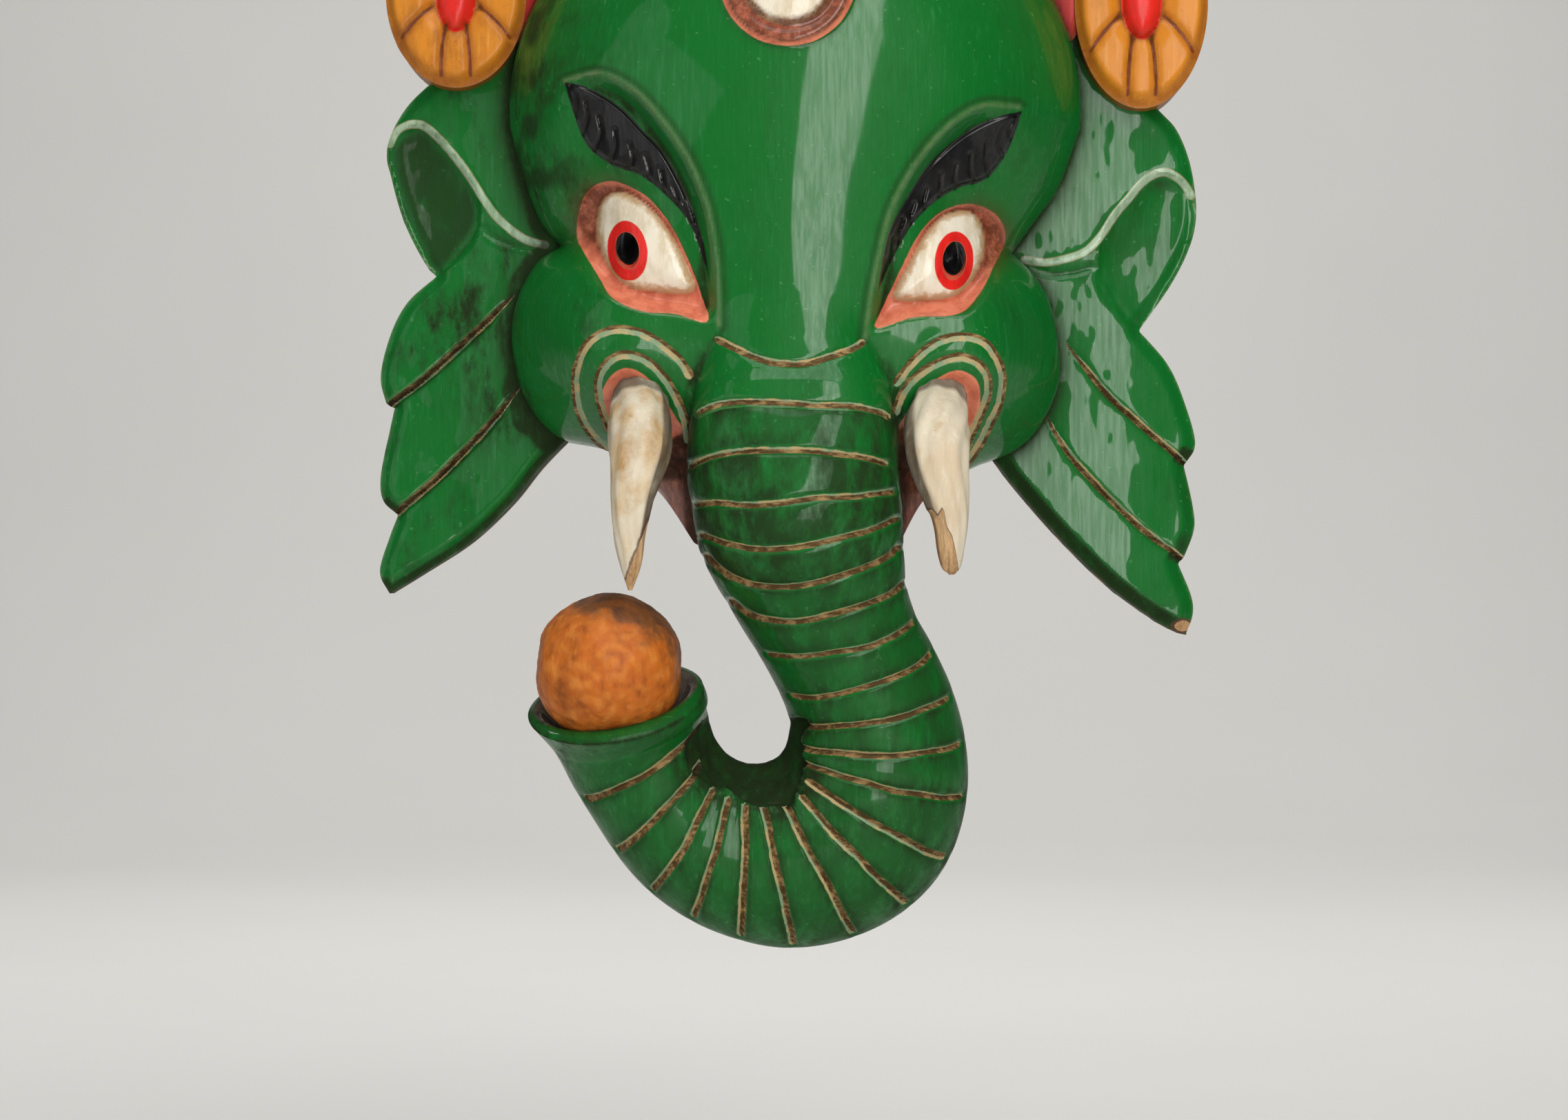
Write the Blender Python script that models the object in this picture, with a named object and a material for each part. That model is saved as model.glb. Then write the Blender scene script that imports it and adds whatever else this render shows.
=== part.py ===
"""Carved and painted wooden Ganesha head, a mask made to hang on a wall.

The frame is in metres, +Z up. The wall is the plane y = 0, the face looks along -Y, and the origin is the
point on the flat back of the crown where the mask bears on the wall. The carving is laid out on a front drawing
in units of one millimetre at the mask's real height. `UNIT` turns a drawn length into metres, so the figure
keeps its proportions when its height changes. Walls, bores and fits are sizes of their own, in metres.
"""
import math

import bmesh
import bpy
import numpy as np
from mathutils import Vector
from mathutils.geometry import delaunay_2d_cdt

for old_object in list(bpy.data.objects):
    bpy.data.objects.remove(old_object, do_unlink=True)

# Driving dimensions, in metres
MASK_HEIGHT = 0.504         # lowest point of the trunk to the tip of the crown
WALL = 0.015                # wood left between the face and the hollow behind it
FIT_GAP = 0.0003            # play between pieces that touch
PUPIL_WIDTH = 0.0098        # hole drilled through each eye
PUPIL_HEIGHT = 0.0154
NAIL_BORE = 0.008           # blind hole in the back that takes the wall nail
NAIL_DEPTH = 0.016
NAIL_ABOVE_ORIGIN = 0.020
BALL_RADIUS = 0.0305
CUP_WALL = 0.0050           # lip of the trunk's cup
GROOVE_WIDTH = 0.0034       # V-cuts across the trunk
GROOVE_DEPTH = 0.0018
TUSK_SEAT_DEPTH = 0.020     # how far a tusk runs into its socket

# The drawing
DRAWN_HEIGHT = 504.0
UNIT = MASK_HEIGHT / DRAWN_HEIGHT
EYE_DISTANCE = 1600.0       # the drawing is a view from this far, so nearer forms are drawn larger
DRAWING_DEPTH = 60.0        # depth, measured from the wall, that is drawn at its true size
VIEW_AXIS = (-2.5, -287.3)

# Depths in front of the wall, in drawing units
EAR_DEPTH = 24.0
ROSETTE_DEPTH = 40.0
HEAD_EDGE_DEPTH = 30.0
CHEEK_DEPTH = 88.0
BROW_DEPTH = 95.0
TIKA_DEPTH = 104.0

# Midline of the head, depth at every 40 units down from the top of the dome
MIDLINE_STEP = 40.0
MIDLINE_DEPTHS = (58.0, 62.0, 95.5, 105.0, 106.0, 101.0, 93.0, 80.0, 52.0, 40.0, 36.0)


def true_place(points, depth):
    """Drawn points at the size they really have, at their own depth."""
    scale = (EYE_DISTANCE - (depth - DRAWING_DEPTH)) / EYE_DISTANCE
    axis = np.array(VIEW_AXIS)
    return axis + (np.asarray(points, dtype=float) - axis) * scale


def through(before, start, end, after, t):
    """A point between start and end on the smooth Catmull-Rom curve through four points."""
    return 0.5 * (2 * start + (end - before) * t + (2 * before - 5 * start + 4 * end - after) * t ** 2
                  + (3 * start - before - 3 * end + after) * t ** 3)


def curve(points, step=6.0, closed=False):
    """A Catmull-Rom curve through the points, with a point about every `step` units."""
    points = np.asarray(points, dtype=float)
    count = len(points)
    spans = count if closed else count - 1
    out = []
    for k in range(spans):
        before = points[(k - 1) % count] if closed or k > 0 else 2 * points[0] - points[1]
        start, end = points[k], points[(k + 1) % count]
        after = points[(k + 2) % count] if closed or k + 2 < count else 2 * points[-1] - points[-2]
        pieces = max(1, round(float(np.linalg.norm(end - start)) / step))
        for j in range(pieces):
            t = j / pieces
            out.append(through(before, start, end, after, t))
    if not closed:
        out.append(points[-1])
    return np.array(out)


def joined(*stretches):
    """One closed outline from stretches that meet at corners."""
    out = []
    for stretch in stretches:
        for point in stretch:
            if not out or np.linalg.norm(np.asarray(point) - out[-1]) > 0.6:
                out.append(np.asarray(point, dtype=float))
    if np.linalg.norm(out[0] - out[-1]) < 0.6:
        out.pop()
    return np.array(out)


def oval(centre, half_width, half_height, count=32, lean=0.0):
    angles = np.arange(count) * 2 * math.pi / count
    x, z = half_width * np.cos(angles), half_height * np.sin(angles)
    c, s = math.cos(lean), math.sin(lean)
    return np.column_stack([centre[0] + c * x - s * z, centre[1] + s * x + c * z])


def distance(x, z, path, closed=False):
    """Distance of each point to a path, and which side of it the point is on."""
    path = np.asarray(path, dtype=float)
    ends = np.roll(path, -1, axis=0) if closed else path[1:]
    starts = path if closed else path[:-1]
    best = np.full(np.shape(x), 1e9)
    side = np.zeros(np.shape(x))
    for (ax, az), (bx, bz) in zip(starts, ends):
        ux, uz = bx - ax, bz - az
        t = np.clip(((x - ax) * ux + (z - az) * uz) / (ux * ux + uz * uz), 0, 1)
        gap = np.hypot(x - ax - t * ux, z - az - t * uz)
        nearer = gap < best
        best = np.where(nearer, gap, best)
        side = np.where(nearer, np.sign(ux * (z - az) - uz * (x - ax)), side)
    return best, side


def inside(x, z, outline):
    """Distance to a closed outline: positive inside it, negative outside."""
    gap, _ = distance(x, z, outline, closed=True)
    crossings = np.zeros(np.shape(x), dtype=int)
    for (ax, az), (bx, bz) in zip(outline, np.roll(outline, -1, axis=0)):
        spans = (az > z) != (bz > z)
        if az != bz:
            crossings += spans & (x < ax + (z - az) * (bx - ax) / (bz - az))
    return np.where(crossings % 2 == 1, gap, -gap)


def ease(t):
    t = np.clip(t, 0, 1)
    return t * t * (3 - 2 * t)


def quarter_round(t):
    return np.sqrt(1 - (1 - np.clip(t, 0, 1)) ** 2)


def midline(z):
    """Depth of the head's broad form on its midline, a smooth curve through the stations."""
    at = np.clip(-z / MIDLINE_STEP + 1, 1, len(MIDLINE_DEPTHS) - 2.001)
    k = np.floor(at).astype(int)
    t = at - k
    depths = np.array(MIDLINE_DEPTHS)
    a, b, c, d = depths[k - 1], depths[k], depths[k + 1], depths[np.minimum(k + 2, len(depths) - 1)]
    return through(a, b, c, d, t)


# Outline of the head: an oval dome above, cheeks and mouth below
DOME_CENTRE = (2.0, -105.0)
DOME_HALF = (116.0, 106.0)
dome_arc = [(DOME_CENTRE[0] + DOME_HALF[0] * math.cos(a), DOME_CENTRE[1] + DOME_HALF[1] * math.sin(a))
            for a in np.linspace(math.radians(-4), math.radians(184), 34)]
head_left = curve([dome_arc[-1], (-109, -130), (-101.5, -150), (-93, -160)])
cheeks = curve([(-93, -160), (-103, -167), (-111, -182), (-113, -200), (-108, -221), (-95, -237), (-74, -243),
                (-55, -262), (-38, -281), (0, -286), (42, -283), (54, -263), (74, -250), (91, -243), (102, -232),
                (109.5, -212), (106, -185), (99, -172), (90, -163)])
head_right = curve([(90, -163), (100, -149), (109, -136), dome_arc[0]])
HEAD_OUTLINE = true_place(joined(dome_arc, head_left, cheeks, head_right), HEAD_EDGE_DEPTH)

# Edges of the carving on the face
BROW_RIDGES = (curve([(-93, -90), (-78, -88.5), (-64, -96), (-52, -109), (-42, -124), (-34.5, -141),
                      (-30.5, -160), (-29, -180), (-29, -192)], 8),
               curve([(94, -101), (78, -102), (63, -112), (50, -128), (41, -145), (36, -164), (33, -180),
                      (30.5, -197)], 8))
CHEEK_TOPS = (curve([(-29, -192), (-45, -189.5), (-60, -187), (-76, -180), (-88, -168), (-96, -159)], 8),
              curve([(30.5, -197), (46, -191), (60, -189), (73, -188), (84, -176), (93, -164)], 8))
TEMPLES = (curve([(-96, -159), (-102, -140), (-103, -115), (-93, -90)], 8),
           curve([(93, -164), (104, -145), (106, -122), (94, -101)], 8))
EYELIDS = (curve([(-33.5, -191), (-47, -187.5), (-60, -186.5), (-72, -181), (-78, -172), (-84, -162),
                  (-88.5, -152), (-84.5, -137), (-74, -132), (-60, -138), (-50, -149), (-42, -164),
                  (-36, -180)], 8, True),
           curve([(35, -193.5), (50, -189), (68, -187.5), (77, -179), (83, -168), (89.5, -154), (85, -144.5),
                  (74, -141), (62, -145), (53, -154), (45, -169), (36.5, -187)], 8, True))
EYEBALLS = (curve([(-39.5, -178), (-56, -178), (-67, -175), (-75, -166), (-80, -152), (-78, -140), (-70, -136),
                   (-60, -141), (-50, -152), (-42, -167)], 7, True),
            curve([(42, -180.5), (55, -181.5), (68, -179), (77, -169), (80.5, -155), (76, -144.5), (65, -145),
                   (56, -153), (48, -167)], 7, True))
PUPILS = ((-66.5, -161.0), (67.0, -165.0))
PUPIL_LEANS = (math.radians(11), math.radians(-9))
BROWS = (curve([(-93, -90.5), (-82, -94), (-70, -101.5), (-60, -112), (-51, -122), (-42, -139), (-35.5, -157),
                (-33, -172), (-40, -152), (-49, -140), (-61, -130), (-74, -124.5), (-85, -114)], 8, True),
         curve([(95.5, -102.5), (80, -107.5), (68, -115), (57, -125.5), (48, -139), (40, -155), (35.5, -178.5),
                (42, -164), (50, -150), (60, -140), (70, -134), (81, -130), (90, -118)], 8, True))
SOCKETS = (curve([(-44.5, -238), (-48, -227), (-57, -214), (-68, -209.5), (-77, -219), (-74, -236)], 7, True),
           curve([(44.5, -238), (50, -224), (60, -213.5), (70, -210.5), (77.5, -218), (73, -238)], 7, True))
TIKA_CENTRE = (-1.0, -51.0)
TIKA_RADIUS = 27.0
TIKA_INNER_RADIUS = 19.0

BROW_RIDGES = [true_place(path, BROW_DEPTH) for path in BROW_RIDGES]
CHEEK_TOPS = [true_place(path, CHEEK_DEPTH) for path in CHEEK_TOPS]
TEMPLES = [true_place(path, CHEEK_DEPTH) for path in TEMPLES]
EYELIDS = [true_place(path, CHEEK_DEPTH) for path in EYELIDS]
EYEBALLS = [true_place(path, CHEEK_DEPTH) for path in EYEBALLS]
BROWS = [true_place(path, BROW_DEPTH) for path in BROWS]
SOCKETS = [true_place(path, CHEEK_DEPTH) for path in SOCKETS]
PUPILS = true_place(PUPILS, CHEEK_DEPTH)
TIKA_CENTRE = true_place(TIKA_CENTRE, TIKA_DEPTH)

# Amounts of carving
EYE_RECESS = 9.0
EYEBALL_BULGE = 5.5
LID_STEP = 1.5
BROW_LIFT = 1.8
SOCKET_RECESS = 3.5
CHEEK_BULGE = 13.0
CHEEK_CENTRE = (76.0, -207.0)
TIKA_LIFT = 3.0
DOME_FALL = 34.0            # how far the dome falls back from its midline to its sides
DOME_FALL_POWER = 1.75


def broad_form(x, z):
    """The head before any carving: a dome that falls away to both sides, with a full cheek on each."""
    depth = midline(z) - DOME_FALL * (np.abs(x) / DOME_HALF[0]) ** DOME_FALL_POWER
    for sign in (-1, 1):
        depth = depth + CHEEK_BULGE * np.exp(-((x - sign * CHEEK_CENTRE[0]) / 27) ** 2
                                             - ((z - CHEEK_CENTRE[1]) / 25) ** 2)
    return depth


def edge_radius(z):
    return 60 - 22 * ease((-z - 140) / 30)


def face_depth(x, z):
    """Depth of the carved face in front of the wall, in drawing units."""
    to_edge = inside(x, z, HEAD_OUTLINE)
    depth = HEAD_EDGE_DEPTH + (broad_form(x, z) - HEAD_EDGE_DEPTH) * quarter_round(to_edge / edge_radius(z))
    for k in range(2):
        zone = joined(BROW_RIDGES[k], CHEEK_TOPS[k], TEMPLES[k])
        in_zone = inside(x, z, zone) > 0
        hollow = (ease(distance(x, z, BROW_RIDGES[k])[0] / 6) * ease(distance(x, z, CHEEK_TOPS[k])[0] / 8)
                  * ease(distance(x, z, TEMPLES[k])[0] / 26))
        depth = depth - np.where(in_zone, EYE_RECESS * hollow, 0)
        depth = depth - LID_STEP * ease(inside(x, z, EYELIDS[k]) / 2)
        depth = depth + EYEBALL_BULGE * quarter_round(inside(x, z, EYEBALLS[k]) / 16)
        depth = depth + BROW_LIFT * ease(inside(x, z, BROWS[k]) / 2)
        depth = depth - SOCKET_RECESS * ease(inside(x, z, SOCKETS[k]) / 5)
    from_tika = np.hypot(x - TIKA_CENTRE[0], z - TIKA_CENTRE[1])
    depth = depth + TIKA_LIFT * ease((TIKA_RADIUS - from_tika) / 3)
    return depth + TIKA_LIFT * np.clip(1 - (from_tika / TIKA_INNER_RADIUS) ** 2, 0, 1)


# Ears: a folded upper lobe over three long feathers of skin, as carved
EAR_OUTLINES = (
    joined(curve([(-90, -56), (-121, -62), (-133, -84), (-148, -95), (-158, -106), (-164, -120), (-162, -133), (-157, -150),
                  (-149, -166), (-144, -172)]),
           curve([(-144, -172), (-156, -183), (-163, -197), (-166.5, -213), (-164, -224)]),
           curve([(-161, -225.5), (-163, -235), (-166.5, -253), (-165.5, -263), (-160, -268.5)]),
           curve([(-160, -270), (-163, -278), (-167, -292), (-163, -301)]),
           curve([(-163, -301), (-150, -293), (-130, -280), (-113, -264), (-100, -248), (-80, -228)]),
           [(-80, -165), (-82, -120)]),
    joined(curve([(90, -56), (123, -62), (134, -88), (150, -104), (158, -113), (163.5, -128), (165.5, -147), (162, -162),
                  (154, -177), (142, -194)]),
           curve([(142, -194), (154, -208), (161, -224), (165, -240), (161, -248)]),
           curve([(160.5, -249), (164, -265), (164.5, -275), (160, -287)]),
           curve([(158, -288.5), (163.5, -302), (164, -310), (161, -318)]),
           curve([(161, -318), (150, -312.5), (130, -298), (110, -278.5), (92, -258), (80, -242)]),
           [(80, -170), (82, -125)]))
FEATHER_CUTS = (
    (curve([(-163, -224.5), (-148, -213.5), (-132, -199), (-118, -186), (-106, -172)], 9),
     curve([(-160, -268.5), (-143, -254), (-128, -239), (-116, -226), (-104, -210)], 9)),
    (curve([(161, -248), (145, -234.5), (130, -221), (117, -206), (105, -189)], 9),
     curve([(160, -287), (140, -272), (120, -252), (108, -236), (98, -220)], 9)))
LOBE_HOLLOWS = (
    curve([(-163, -118), (-150, -110.5), (-140, -119), (-130, -132), (-125, -146), (-130, -159), (-144, -172),
           (-153, -158), (-162, -133)], 9, True),
    curve([(163.5, -139), (157, -131.5), (147, -131), (137, -141), (128, -153), (126, -172), (142, -194),
           (154, -177), (163, -160)], 9, True))
EAR_OUTLINES = [true_place(path, EAR_DEPTH) for path in EAR_OUTLINES]
FEATHER_CUTS = [[true_place(path, EAR_DEPTH) for path in pair] for pair in FEATHER_CUTS]
LOBE_HOLLOWS = [true_place(path, EAR_DEPTH) for path in LOBE_HOLLOWS]


def ear_depth(k):
    """Depth function of one ear: 0 is the ear on the viewer's left, 1 the one on the right."""
    outward = 1 if k == 0 else -1

    def depth_at(x, z):
        depth = EAR_DEPTH + 8 * ease((140 - np.abs(x)) / 45)
        for cut in FEATHER_CUTS[k]:
            gap, side = distance(x, z, cut)
            above = side * outward > 0
            depth = depth + np.where(above, 3.2 * np.exp(-gap / 14), -1.4 * np.exp(-gap / 7))
        depth = depth - 5 * quarter_round(inside(x, z, LOBE_HOLLOWS[k]) / 15)
        return depth - 3.5 * (1 - ease(inside(x, z, EAR_OUTLINES[k]) / 6))

    return depth_at


# Rosettes beside the temples
ROSETTES = (((-136.0, -57.0), (29.0, 38.5)), ((143.0, -60.0), (27.5, 44.0)))
PETALS = 8
PETAL_CUT = 1.6
ROSETTE_BOSS = (7.5, 15.0)


def rosette_parts(k):
    centre, (half_width, half_height) = ROSETTES[k]
    centre = true_place(centre, ROSETTE_DEPTH)
    outline = oval(centre, half_width, half_height, 36)
    boss = oval(centre, ROSETTE_BOSS[0], ROSETTE_BOSS[1], 16)
    cuts = []
    for j in range(PETALS):
        angle = 2 * math.pi * (j + 0.5) / PETALS
        reach = np.array([half_width * math.cos(angle), half_height * math.sin(angle)])
        cuts.append(np.array([centre + reach * share for share in (0.52, 0.74, 0.9)]))

    def depth_at(x, z):
        across = np.hypot((x - centre[0]) / half_width, (z - centre[1]) / half_height)
        depth = ROSETTE_DEPTH - 4.5 * (1 - ease((1 - across) / 0.16)) - 3 * ease((0.55 - across) / 0.3)
        depth = depth + 5 * quarter_round(inside(x, z, boss) / 6)
        for cut in cuts:
            depth = depth - PETAL_CUT * np.exp(-(distance(x, z, cut)[0] / 2.2) ** 2)
        return depth

    return outline, [boss] + cuts, depth_at


# Crown: a band round the brow of the dome, five leaf plates above it, and a ribbon behind each temple
BAND_HEIGHT = 15.0
BAND_LIFT = 6.0
# Each leaf: its foot, half width, length, outward lean in degrees and depth in front of the wall
LEAVES = (((0.0, -14.0), 32.0, 74.0, 0.0, 62.0),
          ((-60.0, -20.0), 29.0, 62.0, 20.0, 55.0), ((60.0, -20.0), 29.0, 62.0, -20.0, 55.0),
          ((-106.0, -38.0), 25.0, 52.0, 34.0, 47.0), ((108.0, -40.0), 25.0, 52.0, -34.0, 47.0))
RIBBONS = ([(-86, -30), (-128, -34), (-122, -60), (-113, -77), (-96, -64)],
           [(86, -30), (128, -34), (121, -60), (113, -77), (98, -64)])
RIBBON_DEPTH = 34.0


def band_lower(x):
    return -21 - 26 * (np.abs(x) / 112) ** 2


def band_parts():
    xs = np.linspace(-112, 112, 27)
    lower = np.column_stack([xs, band_lower(xs)])
    upper = np.column_stack([xs[::-1], band_lower(xs[::-1]) + BAND_HEIGHT])
    outline = joined(lower, upper)

    def depth_at(x, z):
        under = np.minimum(z, -12)
        dome = HEAD_EDGE_DEPTH + (broad_form(x, under) - HEAD_EDGE_DEPTH) * quarter_round(
            np.maximum(inside(x, under, HEAD_OUTLINE), 3.0) / edge_radius(z))
        return dome + BAND_LIFT + 2.5 * quarter_round(inside(x, z, outline) / 4)

    return outline, [], depth_at


def leaf_parts(foot, half_width, length, lean_degrees, depth):
    """One pointed leaf of the crown, standing on the band and leaning outwards."""
    half = [(1.0, 0.0), (1.06, 0.28), (0.86, 0.56), (0.42, 0.82), (0.0, 1.0)]
    shape = [(w * half_width, h * length) for w, h in half]
    shape = joined(curve(shape, 7), curve([(-w, h) for w, h in shape[::-1]], 7))
    angle = math.radians(lean_degrees)
    c, s = math.cos(angle), math.sin(angle)
    outline = np.column_stack([foot[0] + c * shape[:, 0] - s * shape[:, 1],
                               foot[1] + s * shape[:, 0] + c * shape[:, 1]])
    middle = np.array([foot[0] - s * length * 0.42, foot[1] + c * length * 0.42])
    rib = np.array([middle + np.array([-s, c]) * length * t for t in (-0.22, 0.0, 0.22, 0.42)])

    def depth_at(x, z):
        to_edge = inside(x, z, outline)
        along = (z - foot[1]) / length
        hollowed = 3 * (1 - ease(to_edge / 4)) + 2.5 * ease((to_edge - 5) / 4)
        midrib = 4 * np.exp(-(distance(x, z, rib)[0] / 5) ** 2)
        return depth - 16 * np.clip(along, 0, 1) - hollowed + midrib

    return outline[::-1], [rib], depth_at


def ribbon_parts(points):
    outline = true_place(curve(points, 8, True), RIBBON_DEPTH)
    return outline, [], lambda x, z: RIBBON_DEPTH + 0 * x


# Trunk: ribs across it, each with the inner and the outer edge of the trunk as drawn, the depth of its middle
# in front of the wall and its half thickness from front to back. Ribs 2 to 21 are the cut grooves.
TRUNK_RIBS = (
    (-30, -196, 30, -197, 58, 33), (-38, -213, 40, -214, 66, 35), (-40, -228, 43, -229.5, 73, 35),
    (-41.5, -249.5, 43.5, -248, 80, 35), (-40, -263.5, 44.3, -259, 83, 35), (-38, -277, 45.3, -271, 82, 34),
    (-35, -287, 45.8, -284, 77, 34), (-27, -302, 47, -297, 71.5, 33), (-14, -323, 50.5, -310, 66.5, 32),
    (-4.5, -340, 57.5, -322.5, 62, 32), (0, -351.5, 65.5, -340, 58.5, 32.5), (-1, -359.5, 70.8, -360, 56, 33),
    (-2.5, -363.5, 71.3, -382, 54, 34), (-4.5, -366.2, 64.5, -407, 52.5, 34), (-7, -368, 49, -427, 51.5, 33),
    (-10, -369.2, 27, -439.5, 51, 32), (-13.5, -369.8, 1.5, -444, 51, 31), (-17.5, -369.6, -20, -441, 51, 30),
    (-21.5, -368.3, -40.5, -433, 51.5, 30), (-26, -365.3, -57, -421.5, 52.5, 29.5),
    (-30.5, -358.8, -72, -404, 54.5, 29.5), (-33.8, -348.5, -86, -382, 58, 30),
    (-34.8, -343, -96, -364, 62.5, 32.5), (-35.4, -338, -106.5, -350.5, 68, 32))
FIRST_GROOVE, LAST_GROOVE = 2, 21
BEND_RIBS = (11, 19)        # round the inside of the bend the cuts stop short of the trunk's inner edge
TRUNK_SIDES = 20
ROOT_SQUARENESS = 3.2       # the trunk's section is squarish where it leaves the face
ROUND_FROM = 6              # and an oval from this rib on
CUP_FRONT_DROP = 18.0       # the front of the cup's lip is this much lower than its middle
CUP_SEAT_RINGS = 6
CUP_FLOOR_SHARE = 0.12      # the floor of the cup is flat over this share of its depth


def rib_row(at):
    """The values of TRUNK_RIBS at a place between ribs, on a smooth curve through them."""
    rows = np.array(TRUNK_RIBS, dtype=float)
    k = int(min(max(math.floor(at), 0), len(rows) - 2))
    t = at - k
    before = rows[k - 1] if k > 0 else 2 * rows[0] - rows[1]
    after = rows[k + 2] if k + 2 < len(rows) else 2 * rows[-1] - rows[-2]
    return through(before, rows[k], rows[k + 1], after, t)


def rib_middle(at):
    row = rib_row(at)
    inner, outer = true_place(row[:2], row[4]), true_place(row[2:4], row[4])
    middle, side = (inner + outer) / 2, (outer - inner) / 2
    return np.array([middle[0], -row[4], middle[1]]), np.array([side[0], 0, side[1]]), row[5]


def rib_frame(at):
    """Middle of the trunk at a rib, and the two half axes of its oval section."""
    middle, side, half_depth = rib_middle(at)
    low, high = max(at - 0.5, 0), min(at + 0.5, len(TRUNK_RIBS) - 1)
    along = rib_middle(high)[0] - rib_middle(low)[0]
    along = along / np.linalg.norm(along)
    forward = np.array([0, -1.0, 0])
    forward = forward - along * float(forward @ along)
    forward = forward / np.linalg.norm(forward)
    return middle, side, forward * half_depth


def cup_frame():
    """Middle of the cup's lip, its two half axes and the cup's axis, which leans towards the viewer."""
    middle, side, half_depth = rib_middle(len(TRUNK_RIBS) - 1)
    across = CUP_FRONT_DROP * -side[2] / side[0]
    front = np.array([-across, -half_depth, -CUP_FRONT_DROP])
    axis = np.cross(front, side)
    axis = axis / np.linalg.norm(axis)
    return middle, side, front, axis if axis[2] > 0 else -axis


CUP_MIDDLE, CUP_SIDE, CUP_FRONT, CUP_AXIS = cup_frame()
BALL_ABOVE_LIP = 15.5
BALL_CENTRE = CUP_MIDDLE + CUP_AXIS * BALL_ABOVE_LIP


def material(name, colour, roughness):
    made = bpy.data.materials.new(name)
    made.use_nodes = True
    shader = made.node_tree.nodes["Principled BSDF"]
    shader.inputs["Base Color"].default_value = (*colour, 1)
    shader.inputs["Roughness"].default_value = roughness
    shader.inputs["Metallic"].default_value = 0
    return made


def add_object(name, bm, finish=None, cutter=False):
    bmesh.ops.recalc_face_normals(bm, faces=bm.faces)
    mesh = bpy.data.meshes.new(name)
    bm.to_mesh(mesh)
    bm.free()
    made = bpy.data.objects.new(name, mesh)
    bpy.context.scene.collection.objects.link(made)
    if finish:
        mesh.materials.append(finish)
    if cutter:
        made.hide_render = True
        made.display_type = "WIRE"
    return made


BACK_STOCK = 8.0            # wood behind the wall plane, planed off flat at the end


def relief(parts, spacing=10.0, edge_step=6.0):
    """A closed solid: an outline whose front follows a depth function and whose back is flat."""
    outline, lines, depth_at = parts
    points, edges = [], []
    for path, closed in [(outline, True)] + [(line, len(line) > 8) for line in lines]:
        first = len(points)
        points.extend(tuple(p) for p in path)
        last = len(points)
        edges.extend((j, j + 1) for j in range(first, last - 1))
        if closed:
            edges.append((last - 1, first))
    low, high = np.min(outline, axis=0), np.max(outline, axis=0)
    grid = [(x + (row % 2) * spacing / 2, z) for row, z in enumerate(np.arange(low[1], high[1], spacing * 0.87))
            for x in np.arange(low[0], high[0], spacing)]
    grid = np.array(grid)
    keep = inside(grid[:, 0], grid[:, 1], outline) > spacing * 0.5
    for line in lines:
        keep &= distance(grid[:, 0], grid[:, 1], line, len(line) > 8)[0] > spacing * 0.42
    points.extend(tuple(p) for p in grid[keep])
    flat, _, faces, _, _, _ = delaunay_2d_cdt([Vector(p) for p in points], edges, [], 1, 1e-5)
    x = np.array([p[0] for p in flat])
    z = np.array([p[1] for p in flat])
    depth = depth_at(x, z)
    bm = bmesh.new()
    front = [bm.verts.new((x[j] * UNIT, -depth[j] * UNIT, z[j] * UNIT)) for j in range(len(flat))]
    for face in faces:
        bm.faces.new([front[j] for j in face])
    rim = [edge for edge in bm.edges if len(edge.link_faces) == 1]
    walls = bmesh.ops.extrude_edge_only(bm, edges=rim)["geom"]
    for part in walls:
        if isinstance(part, bmesh.types.BMVert):
            part.co.y = BACK_STOCK * UNIT
    bmesh.ops.contextual_create(bm, geom=[part for part in walls if isinstance(part, bmesh.types.BMEdge)
                                          and len(part.link_faces) == 1])
    return bm


def swept(rings, cap_start=True, cap_end=True):
    """A closed tube through rings of equally many points."""
    bm = bmesh.new()
    loops = [[bm.verts.new(Vector(p) * UNIT) for p in ring] for ring in rings]
    for one, other in zip(loops, loops[1:]):
        for j in range(len(one)):
            k = (j + 1) % len(one)
            bm.faces.new((one[j], one[k], other[k], other[j]))
    if cap_start:
        bm.faces.new(loops[0][::-1])
    if cap_end:
        bm.faces.new(loops[-1])
    return bm


def groove_share(at, across):
    """How deep a groove is cut at a place across the trunk: full in front, gone at the sides."""
    inner_end = -0.5 if BEND_RIBS[0] < round(at) < BEND_RIBS[1] else -0.97
    return float(ease((across - inner_end) / 0.15) * ease((0.99 - across) / 0.1))


def trunk_ring(at, cut=0.0):
    middle, side, front = rib_frame(at)
    if at >= len(TRUNK_RIBS) - 1:
        middle, side, front = CUP_MIDDLE, CUP_SIDE, CUP_FRONT
    power = 2 / (2 + (ROOT_SQUARENESS - 2) * (1 - float(ease(at / ROUND_FROM))))
    ring = []
    for j in range(TRUNK_SIDES):
        angle = 2 * math.pi * j / TRUNK_SIDES
        across = math.copysign(abs(math.cos(angle)) ** power, math.cos(angle))
        forward = math.copysign(abs(math.sin(angle)) ** power, math.sin(angle))
        depth = cut * groove_share(at, across) if forward > -0.05 else 0.0
        scale = 1 - depth / float(np.linalg.norm(front))
        ring.append(middle + side * across * scale + front * forward * scale)
    return ring


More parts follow.
